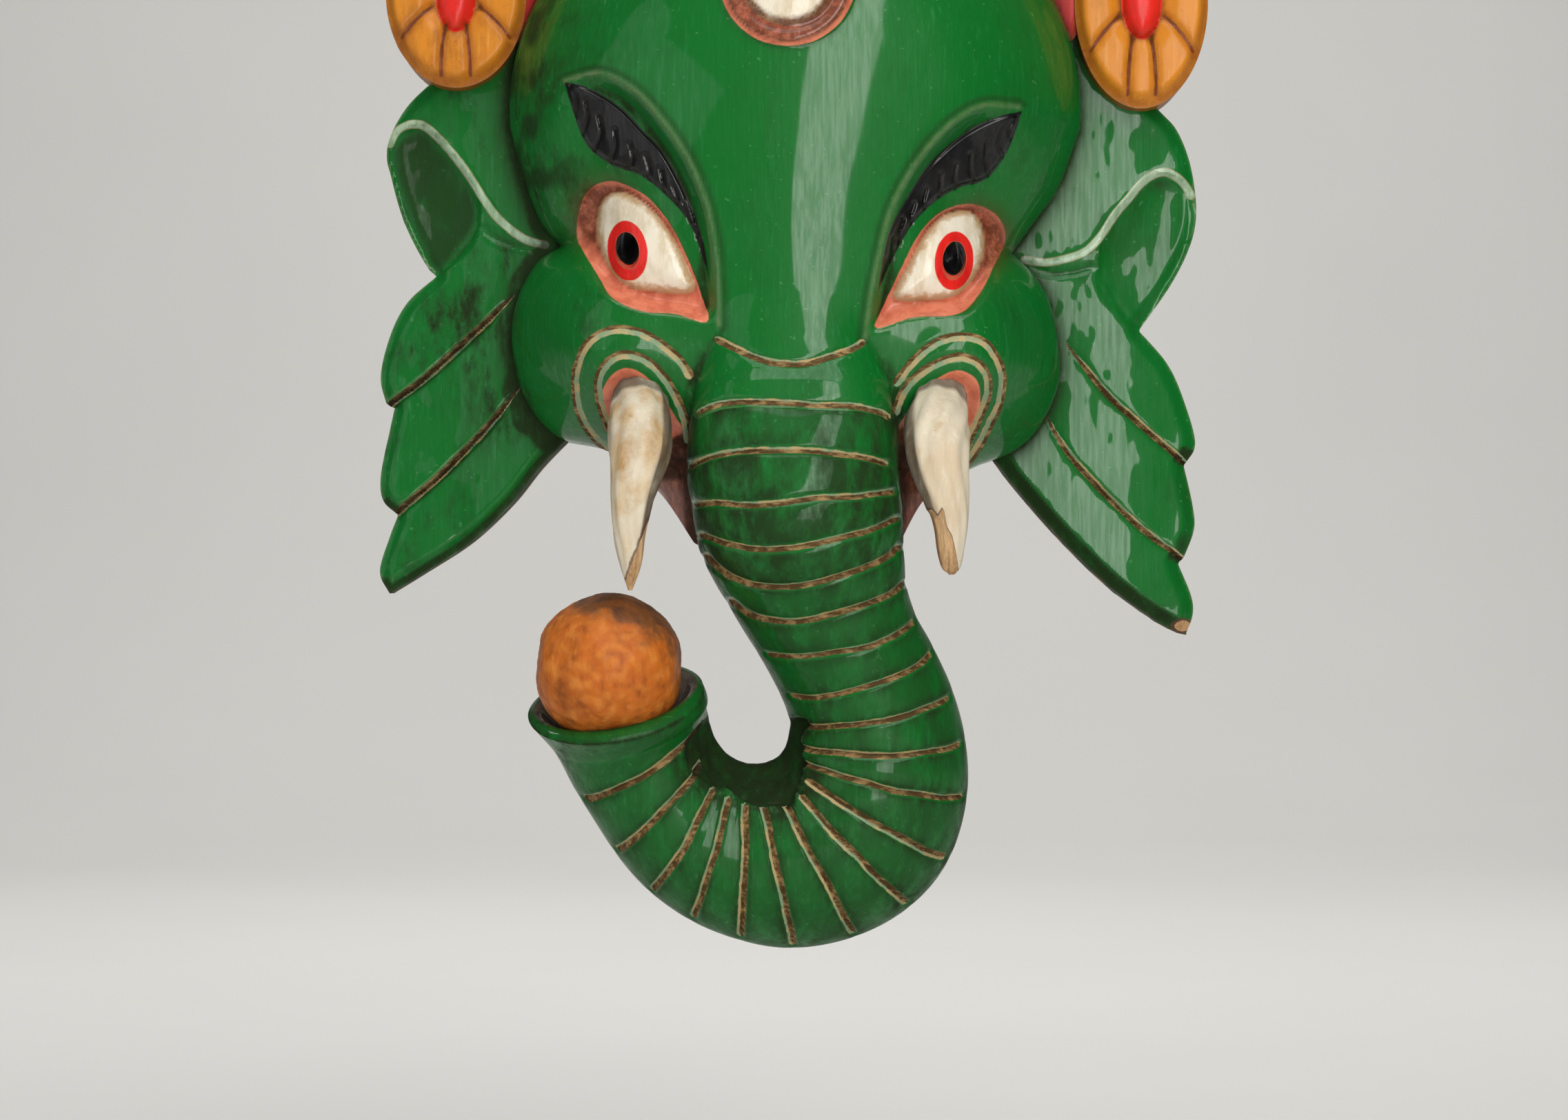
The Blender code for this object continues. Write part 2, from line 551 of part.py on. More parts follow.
def build_trunk():
    rings = [trunk_ring(0), trunk_ring(1)]
    for k in range(FIRST_GROOVE, LAST_GROOVE + 1):
        spacing = float(np.linalg.norm(rib_middle(k + 1)[0] - rib_middle(k - 1)[0])) / 2
        half = GROOVE_WIDTH / UNIT / 2 / spacing
        rings += [trunk_ring(k - half), trunk_ring(k, GROOVE_DEPTH / UNIT), trunk_ring(k + half)]
    rings += [trunk_ring(LAST_GROOVE + 1), trunk_ring(len(TRUNK_RIBS) - 1)]
    side_length = float(np.linalg.norm(CUP_SIDE))
    lip = side_length - CUP_WALL / UNIT
    steepest = math.atan2(lip, BALL_ABOVE_LIP)
    facets = math.cos(math.pi / TRUNK_SIDES) * math.cos(steepest * CUP_FLOOR_SHARE)
    seat = (BALL_RADIUS + FIT_GAP) / UNIT / facets
    flare = math.hypot(lip, BALL_ABOVE_LIP) - seat
    sideways = CUP_SIDE / side_length
    frontways = CUP_FRONT / float(np.linalg.norm(CUP_FRONT))
    for share in np.linspace(1, CUP_FLOOR_SHARE, CUP_SEAT_RINGS):
        angle = steepest * share
        reach = seat + flare * share ** 2
        centre = BALL_CENTRE - CUP_AXIS * reach * math.cos(angle)
        radius = reach * math.sin(angle)
        rings.append([centre + (sideways * math.cos(2 * math.pi * i / TRUNK_SIDES)
                                + frontways * math.sin(2 * math.pi * i / TRUNK_SIDES)) * radius
                      for i in range(TRUNK_SIDES)])
    return swept(rings)


# Tusks: drawn middle, depth in front of the wall and radius, from the seat in the cheek to the tip
TUSKS = {
    "tusk_left": ((-61, -226, 84, 12.2), (-61, -233, 93, 13.2), (-61, -242, 100, 12.9), (-62.3, -252, 104, 11.0),
                  (-64.2, -263, 107, 8.8), (-65.3, -276, 108, 6.8), (-64.8, -289, 107.5, 4.5),
                  (-65, -299.5, 106, 0.9)),
    "tusk_right": ((60.5, -226, 84, 12.0), (59.5, -233, 93, 13.4), (59.8, -242, 100, 13.3),
                   (61.3, -252, 104, 11.8), (63.5, -263, 107, 9.4), (64.8, -273, 108, 7.2),
                   (65.2, -282, 107.5, 5.2), (66.3, -292.5, 106, 1.7)),
}
TUSK_SEAT_TAPER = 0.78
TUSK_SIDES = 14


def tusk_rings(name, clearance=0.0):
    stations = [(*true_place(row[:2], row[2]), row[2], row[3]) for row in TUSKS[name]]
    places = [np.array([x, -depth, z]) for x, z, depth, _ in stations]
    into = places[0] - places[1]
    into = into / np.linalg.norm(into)
    seat = places[0] + into * (TUSK_SEAT_DEPTH + clearance) / UNIT
    places = [seat] + places
    radii = [stations[0][3] * TUSK_SEAT_TAPER] + [row[3] for row in stations]
    rings = []
    for k, place in enumerate(places):
        along = places[min(k + 1, len(places) - 1)] - places[max(k - 1, 0)]
        along = along / np.linalg.norm(along)
        side = np.cross(along, (0, -1.0, 0)) if abs(along[1]) < 0.95 else np.array([1.0, 0, 0])
        side = side - along * float(side @ along)
        side = side / np.linalg.norm(side)
        up = np.cross(side, along)
        radius = radii[k] + clearance / UNIT
        rings.append([place + (side * math.cos(2 * math.pi * j / TUSK_SIDES)
                               + up * math.sin(2 * math.pi * j / TUSK_SIDES)) * radius for j in range(TUSK_SIDES)])
    return rings


def build_ball():
    """The round sweet: hand-shaped, so flattened here and there, never beyond its radius."""
    bm = bmesh.new()
    bmesh.ops.create_icosphere(bm, subdivisions=3, radius=1)
    flats = [Vector(towards).normalized() for towards in
             ((0.2, -1, 0.5), (-0.7, -0.6, 0.1), (0.8, -0.4, 0.2), (0.1, -0.5, -0.9), (-0.4, -0.2, 0.9),
              (0.6, 0.3, 0.8), (-0.8, 0.5, -0.2), (0.5, 0.8, 0.1))]
    for vert in bm.verts:
        direction = vert.co.normalized()
        trimmed = min([1.0] + [0.95 / max(direction.dot(flat), 0.01) for flat in flats])
        vert.co = direction * (trimmed * BALL_RADIUS) + Vector(BALL_CENTRE) * UNIT
    return bm


def hollow_parts():
    """The hollow behind the face: the broad form again, a wall further in."""
    wall = WALL / UNIT
    angles = np.linspace(math.radians(-8), math.radians(188), 22)
    half_width, half_height = DOME_HALF[0] - wall, DOME_HALF[1] - 1.4 * wall
    top = [(DOME_CENTRE[0] + half_width * math.cos(a), DOME_CENTRE[1] + half_height * math.sin(a)) for a in angles]
    low = curve([top[-1], (-80, -162), (-92, -185), (-90, -208), (-60, -224), (0, -226), (60, -226), (88, -210),
                 (90, -186), (80, -164), top[0]], 12)
    outline = joined(top, low)

    def depth_at(x, z):
        reach = inside(x, z, outline)
        form = broad_form(x, z) - EYE_RECESS - LID_STEP - wall
        return np.maximum(form * quarter_round(reach / (edge_radius(z) - 8)), -BACK_STOCK * 0.5)

    return outline, [], depth_at


def bored(centre, half_width, half_height, lean, near, far, count=16):
    """A straight oval hole along Y, from one depth to another."""
    outline = oval(centre, half_width, half_height, count, lean)
    rings = [[(x, -depth, z) for x, z in outline] for depth in (near, far)]
    return swept(rings)


def add_boolean(target, name, operation, operand):
    cut = target.modifiers.new(name, "BOOLEAN")
    cut.operation = operation
    cut.solver = "EXACT"
    cut.object = operand


painted = material("painted_wood", (0.012, 0.14, 0.030), 0.28)
cream = material("cream_paint", (0.62, 0.56, 0.44), 0.5)
orange = material("orange_paint", (0.55, 0.17, 0.025), 0.5)

TIKA_LINES = [oval(TIKA_CENTRE, TIKA_RADIUS, TIKA_RADIUS, 24),
              oval(TIKA_CENTRE, TIKA_INNER_RADIUS, TIKA_INNER_RADIUS, 18)]
FACE_LINES = [*BROW_RIDGES, *CHEEK_TOPS, *EYELIDS, *EYEBALLS, *BROWS, *SOCKETS, *TIKA_LINES]
mask = add_object("mask", relief((HEAD_OUTLINE, FACE_LINES, face_depth)), painted)
forms = {"trunk": build_trunk(), "band": relief(band_parts(), 9)}
for k, side_name in enumerate(("left", "right")):
    ear_lines = [*FEATHER_CUTS[k], LOBE_HOLLOWS[k]]
    forms["ear_" + side_name] = relief((EAR_OUTLINES[k], ear_lines, ear_depth(k)), 11)
    forms["rosette_" + side_name] = relief(rosette_parts(k), 9)
    forms["ribbon_" + side_name] = relief(ribbon_parts(RIBBONS[k]), 12)
for k, leaf in enumerate(LEAVES):
    forms["leaf_" + str(k + 1)] = relief(leaf_parts(*leaf), 11)
for name, form in forms.items():
    add_boolean(mask, name, "UNION", add_object("form_" + name, form, cutter=True))

cuts = {"hollow": relief(hollow_parts(), 16)}
for k, side_name in enumerate(("left", "right")):
    cuts["pupil_" + side_name] = bored(PUPILS[k], PUPIL_WIDTH / UNIT / 2, PUPIL_HEIGHT / UNIT / 2,
                                       PUPIL_LEANS[k], HEAD_EDGE_DEPTH, 2 * CHEEK_DEPTH)
    name = "tusk_" + side_name
    cuts["seat_" + side_name] = swept(tusk_rings(name, FIT_GAP))
    add_object(name, swept(tusk_rings(name)), cream)
cuts["nail"] = bored((0, NAIL_ABOVE_ORIGIN / UNIT), NAIL_BORE / UNIT / 2, NAIL_BORE / UNIT / 2, 0,
                     -2 * BACK_STOCK, NAIL_DEPTH / UNIT)
planing = bmesh.new()
bmesh.ops.create_cube(planing, size=1)
for vert in planing.verts:
    vert.co = Vector((vert.co.x * 2 * DRAWN_HEIGHT, vert.co.y * 2 * BACK_STOCK + BACK_STOCK,
                      vert.co.z * 3 * DRAWN_HEIGHT)) * UNIT
cuts["planing"] = planing
for name, cut in cuts.items():
    add_boolean(mask, "cut_" + name, "DIFFERENCE", add_object("cut_" + name, cut, cutter=True))
add_object("ball", build_ball(), orange)
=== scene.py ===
# %% [markdown]
# # A carved elephant head to hang on a wall
# The real object is cut from one block of soft wood, hollowed from behind and painted in glossy colours.
# The two tusks are separate pegs of wood and the ball rests in the cup of the trunk. The solids of the part
# already have its size, its outline and its main forms. This file adds what the carver's knife and brush
# added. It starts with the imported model, because every piece made here has to fit it.

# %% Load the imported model
import math

import bmesh
import bpy
import numpy as np
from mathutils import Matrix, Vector, noise


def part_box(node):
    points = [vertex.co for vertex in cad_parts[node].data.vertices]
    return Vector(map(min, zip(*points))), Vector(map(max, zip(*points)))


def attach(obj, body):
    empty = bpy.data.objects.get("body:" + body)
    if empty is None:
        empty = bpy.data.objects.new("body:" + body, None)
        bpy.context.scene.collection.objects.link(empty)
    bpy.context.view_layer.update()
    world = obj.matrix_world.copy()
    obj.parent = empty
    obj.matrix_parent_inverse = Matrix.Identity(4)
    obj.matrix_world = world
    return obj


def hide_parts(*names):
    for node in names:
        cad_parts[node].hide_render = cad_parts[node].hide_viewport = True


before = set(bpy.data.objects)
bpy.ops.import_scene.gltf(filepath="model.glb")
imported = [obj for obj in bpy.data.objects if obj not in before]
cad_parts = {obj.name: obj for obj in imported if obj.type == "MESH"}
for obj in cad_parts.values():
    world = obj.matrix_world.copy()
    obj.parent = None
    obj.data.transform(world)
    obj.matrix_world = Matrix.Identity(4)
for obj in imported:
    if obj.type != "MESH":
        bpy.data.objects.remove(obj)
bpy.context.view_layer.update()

print("pieces in the solids:", sorted(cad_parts))

# %% [markdown]
# ## The drawing
# A carver starts from a drawing on the front of the block. All places below are in drawing units, one
# millimetre each on the real mask. The drawing is a view from 1.6 m away, so a form that stands nearer to
# the eye is drawn a little too large. One function puts a drawn point back where it really is, which is
# easier than correcting each number by hand.

# %% Drawing units and true places
CROWN_TIP = 60.0
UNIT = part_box("mask")[1][2] / CROWN_TIP
EYE_DISTANCE = 1600.0
DRAWING_DEPTH = 60.0
VIEW_AXIS = (-2.5, -287.3)


def true_place(points, depth):
    """Drawn points at the size they really have, at their own depth in front of the wall."""
    scale = (EYE_DISTANCE - (depth - DRAWING_DEPTH)) / EYE_DISTANCE
    axis = np.array(VIEW_AXIS)
    return axis + (np.asarray(points, dtype=float) - axis) * scale


def drawn_place(points, depth):
    """The reverse of true_place: where a point of the real surface is seen on the drawing."""
    axis = np.array(VIEW_AXIS)
    scale = (EYE_DISTANCE - (depth - DRAWING_DEPTH)) / EYE_DISTANCE
    return axis + (points - axis) / scale[:, None]


print("one drawing unit is", round(UNIT * 1000, 4), "mm")

# %% Curves, ovals and joined outlines


def through(before, start, end, after, t):
    """A point between start and end on the smooth Catmull-Rom curve through four points."""
    return 0.5 * (2 * start + (end - before) * t + (2 * before - 5 * start + 4 * end - after) * t ** 2
                  + (3 * start - before - 3 * end + after) * t ** 3)


def curve(points, step=2.0, closed=False):
    """A smooth curve through the points, with a point about every `step` units."""
    points = np.asarray(points, dtype=float)
    count = len(points)
    out = []
    for k in range(count if closed else count - 1):
        before = points[(k - 1) % count] if closed or k > 0 else 2 * points[0] - points[1]
        start, end = points[k], points[(k + 1) % count]
        after = points[(k + 2) % count] if closed or k + 2 < count else 2 * points[-1] - points[-2]
        pieces = max(1, round(float(np.linalg.norm(end - start)) / step))
        out += [through(before, start, end, after, j / pieces) for j in range(pieces)]
    return np.array(out if closed else out + [points[-1]])


def joined(*stretches):
    """One closed outline from stretches that meet at corners."""
    out = []
    for point in np.concatenate([np.asarray(stretch, dtype=float) for stretch in stretches]):
        if not out or np.linalg.norm(point - out[-1]) > 0.6:
            out.append(point)
    return np.array(out[:-1] if np.linalg.norm(out[0] - out[-1]) < 0.6 else out)


def oval(centre, half_width, half_height, count=48, lean=0.0):
    angles = np.arange(count) * 2 * math.pi / count
    x, z = half_width * np.cos(angles), half_height * np.sin(angles)
    c, s = math.cos(lean), math.sin(lean)
    return np.column_stack([centre[0] + c * x - s * z, centre[1] + s * x + c * z])


# %% [markdown]
# ## Measuring on the drawing
# Most of the carving and all of the painting depends on one question: how far is this point from that line?
# Two functions answer it for many points at once. `inside` is positive within an outline and negative
# outside, so nought is the line itself. `ease` and `quarter_round` turn such distances into smooth slopes
# and rounded edges.

# %% Distances to lines and outlines


def distance(x, z, path, closed=False):
    """Distance of each point to a path, and which side of it the point is on."""
    ends = np.roll(path, -1, axis=0) if closed else path[1:]
    starts = path if closed else path[:-1]
    best, side = np.full(np.shape(x), 1e9), np.zeros(np.shape(x))
    for (ax, az), (bx, bz) in zip(starts, ends):
        ux, uz = bx - ax, bz - az
        t = np.clip(((x - ax) * ux + (z - az) * uz) / (ux * ux + uz * uz), 0, 1)
        gap = np.hypot(x - ax - t * ux, z - az - t * uz)
        side = np.where(gap < best, np.sign(ux * (z - az) - uz * (x - ax)), side)
        best = np.minimum(gap, best)
    return best, side


def nearest_line(x, z, paths):
    """Distance to the nearest of several open lines, the side of it, and which line it is."""
    gaps, sides = np.moveaxis(np.array([distance(x, z, path) for path in paths]), 1, 0)
    which = np.argmin(gaps, axis=0)
    return [np.take_along_axis(rows, which[None], axis=0)[0] for rows in (gaps, sides)] + [which]


def gap_to(x, z, paths):
    return nearest_line(x, z, paths)[0]


def stroke(x, z, path, depth, width):
    """Depth of a soft cut along a line."""
    return depth * np.exp(-(distance(x, z, path)[0] / width) ** 2)


def inside(x, z, outline):
    """Distance to a closed outline: positive inside it, negative outside."""
    gap, _ = distance(x, z, outline, closed=True)
    crossings = np.zeros(np.shape(x), dtype=int)
    for (ax, az), (bx, bz) in zip(outline, np.roll(outline, -1, axis=0)):
        if az != bz:
            crossings += ((az > z) != (bz > z)) & (x < ax + (z - az) * (bx - ax) / (bz - az))
    return np.where(crossings % 2 == 1, gap, -gap)


def ease(t):
    t = np.clip(t, 0, 1)
    return t * t * (3 - 2 * t)


def quarter_round(t):
    return np.sqrt(1 - (1 - np.clip(t, 0, 1)) ** 2)


def lumps(x, y, z, size, seed=0.0):
    """Smooth hand-made unevenness about `size` units across, from -1 to 1."""
    return np.array([noise.noise(Vector((a, b, c)) / size + Vector((seed, 3.1 * seed, 7.7)))
                     for a, b, c in zip(x, np.broadcast_to(y, np.shape(x)), z)])


# %% [markdown]
# ## The head
# The head is an oval dome with two full cheeks below it. Its broad form is a curve down the middle that
# falls away to both sides and turns down to the edge in a quarter round. This could be sculpted freely, but
# the same formula that gave the solid its form keeps this finer surface exactly on it.

# %% Outline and broad form of the head
MIDLINE_STEP = 40.0
MIDLINE_DEPTHS = (58.0, 62.0, 95.5, 105.0, 106.0, 101.0, 93.0, 80.0, 52.0, 40.0, 36.0)
HEAD_EDGE_DEPTH, CHEEK_DEPTH, BROW_DEPTH, TIKA_DEPTH = 30.0, 88.0, 95.0, 104.0
DOME_CENTRE, DOME_HALF = (2.0, -105.0), (116.0, 106.0)
DOME_FALL, DOME_FALL_POWER = 34.0, 1.75
CHEEK_BULGE, CHEEK_CENTRE = 13.0, (76.0, -207.0)

dome_arc = [(DOME_CENTRE[0] + DOME_HALF[0] * math.cos(a), DOME_CENTRE[1] + DOME_HALF[1] * math.sin(a))
            for a in np.linspace(math.radians(-4), math.radians(184), 70)]
head_left = curve([dome_arc[-1], (-109, -130), (-101.5, -150), (-93, -160)])
cheek_left = curve([(-93, -160), (-103, -167), (-111, -182), (-113, -200), (-108, -221), (-95, -237),
                    (-74, -243), (-53, -260), (-38, -281)])
cheek_right = curve([(42, -283), (55, -262), (74, -250), (91, -243), (102, -232), (109.5, -212), (106, -185),
                     (99, -172), (90, -163)])
head_right = curve([(90, -163), (100, -149), (109, -136), dome_arc[0]])
CHIN = [(0, -286)]
HEAD_OUTLINE = true_place(joined(dome_arc, head_left, cheek_left, CHIN, cheek_right, head_right),
                          HEAD_EDGE_DEPTH)


def midline(z):
    """Depth of the broad form on the middle of the head."""
    at = np.clip(-z / MIDLINE_STEP + 1, 1, len(MIDLINE_DEPTHS) - 2.001)
    k = np.floor(at).astype(int)
    depths = np.array(MIDLINE_DEPTHS)
    return through(depths[k - 1], depths[k], depths[k + 1], depths[k + 2], at - k)


def broad_form(x, z):
    depth = midline(z) - DOME_FALL * (np.abs(x) / DOME_HALF[0]) ** DOME_FALL_POWER
    for sign in (-1, 1):
        depth = depth + CHEEK_BULGE * np.exp(-((x - sign * CHEEK_CENTRE[0]) / 27) ** 2
                                             - ((z - CHEEK_CENTRE[1]) / 25) ** 2)
    return depth


def edge_radius(z):
    return 60 - 22 * ease((-z - 140) / 30)


def beside_head(x, z, reach):
    """One along the edge of the head, fading away outside it."""
    return np.exp(-np.maximum(-inside(x, z, HEAD_OUTLINE), 0) / reach)


print("head outline:", len(HEAD_OUTLINE), "points,", np.ptp(HEAD_OUTLINE[:, 0]).round(1), "wide")

# %% [markdown]
# ## Lines of the face
# The carver draws the brow ridges, lids, eyes and tusk sockets before cutting them. Each line stands at its
# own depth, so each set goes through `true_place` once. Closed outlines also serve as the edges of the
# painted areas, so paint and carving always meet.

# %% Brows, eyes, cheeks and sockets


def on_face(path, depth=CHEEK_DEPTH, closed=False):
    return true_place(curve(path, 2.0, closed), depth)


BROW_RIDGES = (on_face([(-93, -90), (-78, -88.5), (-64, -96), (-52, -109), (-42, -124), (-34.5, -141),
                        (-30.5, -160), (-29, -180), (-29, -192)], BROW_DEPTH),
               on_face([(94, -101), (78, -102), (63, -112), (50, -128), (41, -145), (36, -164), (33, -180),
                        (30.5, -197)], BROW_DEPTH))
CHEEK_TOPS = (on_face([(-29, -192), (-45, -189.5), (-60, -187), (-76, -180), (-88, -168), (-96, -159)]),
              on_face([(30.5, -197), (46, -191), (60, -189), (73, -188), (84, -176), (93, -164)]))
TEMPLES = (on_face([(-96, -159), (-102, -140), (-103, -115), (-93, -90)]),
           on_face([(93, -164), (104, -145), (106, -122), (94, -101)]))
EYELIDS = (on_face([(-33.5, -191), (-47, -187.5), (-60, -186.5), (-72, -181), (-78, -172), (-84, -162),
                    (-88.5, -152), (-84.5, -137), (-74, -132), (-60, -138), (-50, -149), (-42, -164),
                    (-36, -180)], closed=True),
           on_face([(35, -193.5), (50, -189), (68, -187.5), (77, -179), (83, -168), (89.5, -154),
                    (85, -144.5), (74, -141), (62, -145), (53, -154), (45, -169), (36.5, -187)], closed=True))
EYEBALLS = (on_face([(-39.5, -178), (-56, -178), (-67, -175), (-75, -166), (-80, -152), (-78, -140),
                     (-70, -136), (-60, -141), (-50, -152), (-42, -167)], closed=True),
            on_face([(42, -180.5), (55, -181.5), (68, -179), (77, -169), (80.5, -155), (76, -144.5),
                     (65, -145), (56, -153), (48, -167)], closed=True))
BROW_EDGES = (
    (on_face([(-93, -90.5), (-82, -94), (-70, -101.5), (-60, -112), (-51, -122), (-42, -139), (-35.5, -157),
              (-33, -172)], BROW_DEPTH),
     on_face([(-93, -90.5), (-85, -114), (-74, -124.5), (-61, -130), (-49, -140), (-40, -152), (-33, -172)],
             BROW_DEPTH)),
    (on_face([(95.5, -102.5), (80, -107.5), (68, -115), (57, -125.5), (48, -139), (40, -155), (35.5, -178.5)],
             BROW_DEPTH),
     on_face([(95.5, -102.5), (90, -118), (81, -130), (70, -134), (60, -140), (50, -150), (42, -164),
              (35.5, -178.5)], BROW_DEPTH)))
BROWS = [joined(upper, lower[::-1]) for upper, lower in BROW_EDGES]
SOCKETS = (on_face([(-44.5, -238), (-48, -227), (-57, -214), (-68, -209.5), (-77, -219),
                    (-74, -236)], closed=True),
           on_face([(44.5, -238), (50, -224), (60, -213.5), (70, -210.5), (77.5, -218),
                    (73, -238)], closed=True))
MOUTH_SIDES = (on_face([(-44, -236), (-56, -252), (-53, -270), (-38.5, -285), (-30, -262)], 60, True),
               on_face([(44, -240), (58, -252), (56, -272), (46.5, -285), (30, -262)], 60, True))
PUPILS = true_place([(-66.5, -161.0), (67.0, -165.0)], CHEEK_DEPTH)
PUPIL_LEANS = (math.radians(11), math.radians(-9))
PUPIL_HALVES = ((4.9, 7.6), (4.8, 7.9))
IRIS_HALVES = ((8.2, 12.3), (8.0, 12.0))
TIKA_CENTRE = true_place((-1.0, -51.0), TIKA_DEPTH)
TIKA_RADIUS, TIKA_INNER_RADIUS, TIKA_LIFT = 27.0, 19.0, 3.0
NOSE_LINE = on_face([(-29.5, -198), (-24, -201), (-18, -204), (-12, -206.5), (-6, -208), (2, -208.5),
                     (8, -208), (14, -206), (20, -204), (25, -202), (29, -199.5)])
CHEEK_ARCS = (
    on_face([(-41, -212), (-45, -206), (-50, -201.5), (-55, -198), (-60, -195.5), (-66, -194), (-72, -194),
             (-78, -196), (-83, -200), (-86, -206), (-88, -212), (-88, -220), (-87, -227), (-84, -233),
             (-80, -238), (-75, -242.5)]),
    on_face([(-42, -238), (-43, -230), (-46, -222), (-50, -215), (-55, -209), (-60, -205.5), (-66, -204),
             (-71, -205), (-75, -208), (-78, -213), (-78.5, -220), (-77, -227), (-73, -236)]),
    on_face([(43.5, -215), (48, -209), (54, -203), (60, -199), (66, -197), (73, -197), (79, -199),
             (83, -203.5), (86, -209), (87, -215), (86, -223), (83, -230), (80, -237), (76, -244),
             (73, -248)]),
    on_face([(43, -227), (45, -221), (49, -215), (55, -210), (61, -207), (67, -205), (72, -205.5), (77, -208),
             (80.5, -213), (81, -219), (79, -226), (76, -233), (73, -240)]))
print("face lines at their true places, nose line from", NOSE_LINE[0].round(1), "to", NOSE_LINE[-1].round(1))

# %% [markdown]
# ## Carving the face
# The depth of the face at any point is the broad form, less the eye hollow under each brow ridge, plus the
# eyeball, the brow and the spot on the forehead. The strokes that a narrow gouge made last, the hairs of
# the brows and the V-cuts round the tusks, come on top of that.

# %% Gouge strokes of the brows
EYE_RECESS, EYEBALL_BULGE, LID_STEP, BROW_LIFT, SOCKET_RECESS = 9.0, 5.5, 1.5, 1.8, 3.5
ARC_CUT_DEPTH, HAIR_CUT_DEPTH, HAIR_CUT_WIDTH = 0.7, 1.1, 0.9


def hair_lines(upper, lower):
    """Curved gouge strokes from the middle of a brow to its lower edge, leaning along it."""

    def spot(share, down):
        return (upper[min(int(share * len(upper)), len(upper) - 1)] * (1 - down)
                + lower[min(int(share * len(lower)), len(lower) - 1)] * down)

    return [curve([spot(share, 0.42), spot(share + 0.05, 0.66), spot(share + 0.08, 0.97)])
            for share in np.linspace(0.05, 0.85, 11)]


HAIRS = [hair_lines(*edges) for edges in BROW_EDGES]
print("gouge strokes in the brows:", sum(len(lines) for lines in HAIRS))

# %% The top of the trunk, where it grows out of the face
SNOUT_TOP = -182
# Rows of the snout: height, left edge, right edge, depth at the edges and in the middle
SNOUT_ROWS = np.array(((SNOUT_TOP, -29, 29, 60, 88.5), (-198, -31, 31, 62, 98.5), (-216, -38, 40, 67, 106.5),
                       (-237, -41, 43, 76, 113.5), (-259, -40, 44.3, 82, 118), (-283, -36, 45.7, 79, 115)),
                      dtype=float)[::-1]
SNOUT_BLEND = 6.0
NOSE_BRIDGE, NOSE_HEIGHT = 5.0, -203.0
GROOVE_HALF, GROOVE_DEPTH = 2.1, 1.9
# The first V-cut of the trunk, where the face ends and the trunk's own piece begins
FIRST_CUT = curve([(-37.2, -226.7), (-32.6, -224.7), (-25.5, -223.3), (-15.4, -223), (-1.2, -223.5),
                   (11, -224.5), (23.1, -224.5), (31.2, -225.7), (37.3, -227.1), (39.9, -228.7)])
SEAM = true_place(FIRST_CUT, 108)


def snout_depth(x, z):
    """Depth of the front of the trunk where it grows out of the face."""
    left, right, low, high = (np.interp(z, SNOUT_ROWS[:, 0], SNOUT_ROWS[:, i]) for i in (1, 2, 3, 4))
    off = np.abs(x - (left + right) / 2)
    across = np.clip(off / ((right - left) / 2), 0, 1)
    front = low + (high - low) * (1 - across ** 3) ** (1 / 3) - 2.5 * np.maximum(off - (right - left) / 2, 0)
    below_seam = np.interp(x, SEAM[:, 0], SEAM[:, 1]) - z
    return np.where(z > SNOUT_TOP, front - 1.2 * (z - SNOUT_TOP), front) + 0.3 - 16.0 * ease(below_seam / 14)


# %% Depth of the carved face


def soft_max(a, b, width):
    share = np.clip(0.5 + 0.5 * (a - b) / width, 0, 1)
    return b + (a - b) * share + width * share * (1 - share)


def face_depth(x, z):
    """Depth of the carved face in front of the wall."""
    to_edge = inside(x, z, HEAD_OUTLINE)
    depth = HEAD_EDGE_DEPTH + (broad_form(x, z) - HEAD_EDGE_DEPTH) * quarter_round(to_edge / edge_radius(z))
    for k in range(2):
        zone = joined(BROW_RIDGES[k], CHEEK_TOPS[k], TEMPLES[k])
        hollow = (ease(distance(x, z, BROW_RIDGES[k])[0] / 6) * ease(distance(x, z, CHEEK_TOPS[k])[0] / 8)
                  * ease(distance(x, z, TEMPLES[k])[0] / 26))
        depth = depth - np.where(inside(x, z, zone) > 0, EYE_RECESS * hollow, 0)
        depth = depth - LID_STEP * ease(inside(x, z, EYELIDS[k]) / 1.5)
        depth = depth + EYEBALL_BULGE * quarter_round(inside(x, z, EYEBALLS[k]) / 16)
        in_brow = inside(x, z, BROWS[k])
        depth = depth + BROW_LIFT * ease(in_brow / 2)
        hair_cut = np.exp(-(gap_to(x, z, HAIRS[k]) / HAIR_CUT_WIDTH) ** 2)
        depth = depth - HAIR_CUT_DEPTH * hair_cut * ease((in_brow + 1) / 2)
        depth = depth - SOCKET_RECESS * ease(inside(x, z, SOCKETS[k]) / 5)
    from_tika = np.hypot(x - TIKA_CENTRE[0], z - TIKA_CENTRE[1])
    depth = depth + TIKA_LIFT * ease((TIKA_RADIUS - from_tika) / 2.2)
    depth = depth + TIKA_LIFT * np.clip(1 - (from_tika / TIKA_INNER_RADIUS) ** 2, 0, 1)
    depth = depth - 0.8 * np.exp(-((from_tika - TIKA_INNER_RADIUS - 1) / 1.6) ** 2)
    depth = depth + NOSE_BRIDGE * np.exp(-((z - NOSE_HEIGHT) / 22) ** 2 - (x / 30) ** 2)
    near_trunk = (np.abs(x) < 66) & (z < -160)
    softness = SNOUT_BLEND + 8 * ease((z + 236) / 30)
    depth = np.where(near_trunk, soft_max(snout_depth(x, z), depth, softness), depth)
    for path in CHEEK_ARCS:
        depth = depth - stroke(x, z, path, ARC_CUT_DEPTH, 1.2)
    depth = depth - GROOVE_DEPTH * np.maximum(0, 1 - distance(x, z, SEAM)[0] / GROOVE_HALF)
    return depth - 1.6 * np.maximum(0, 1 - distance(x, z, NOSE_LINE)[0] / 1.9)


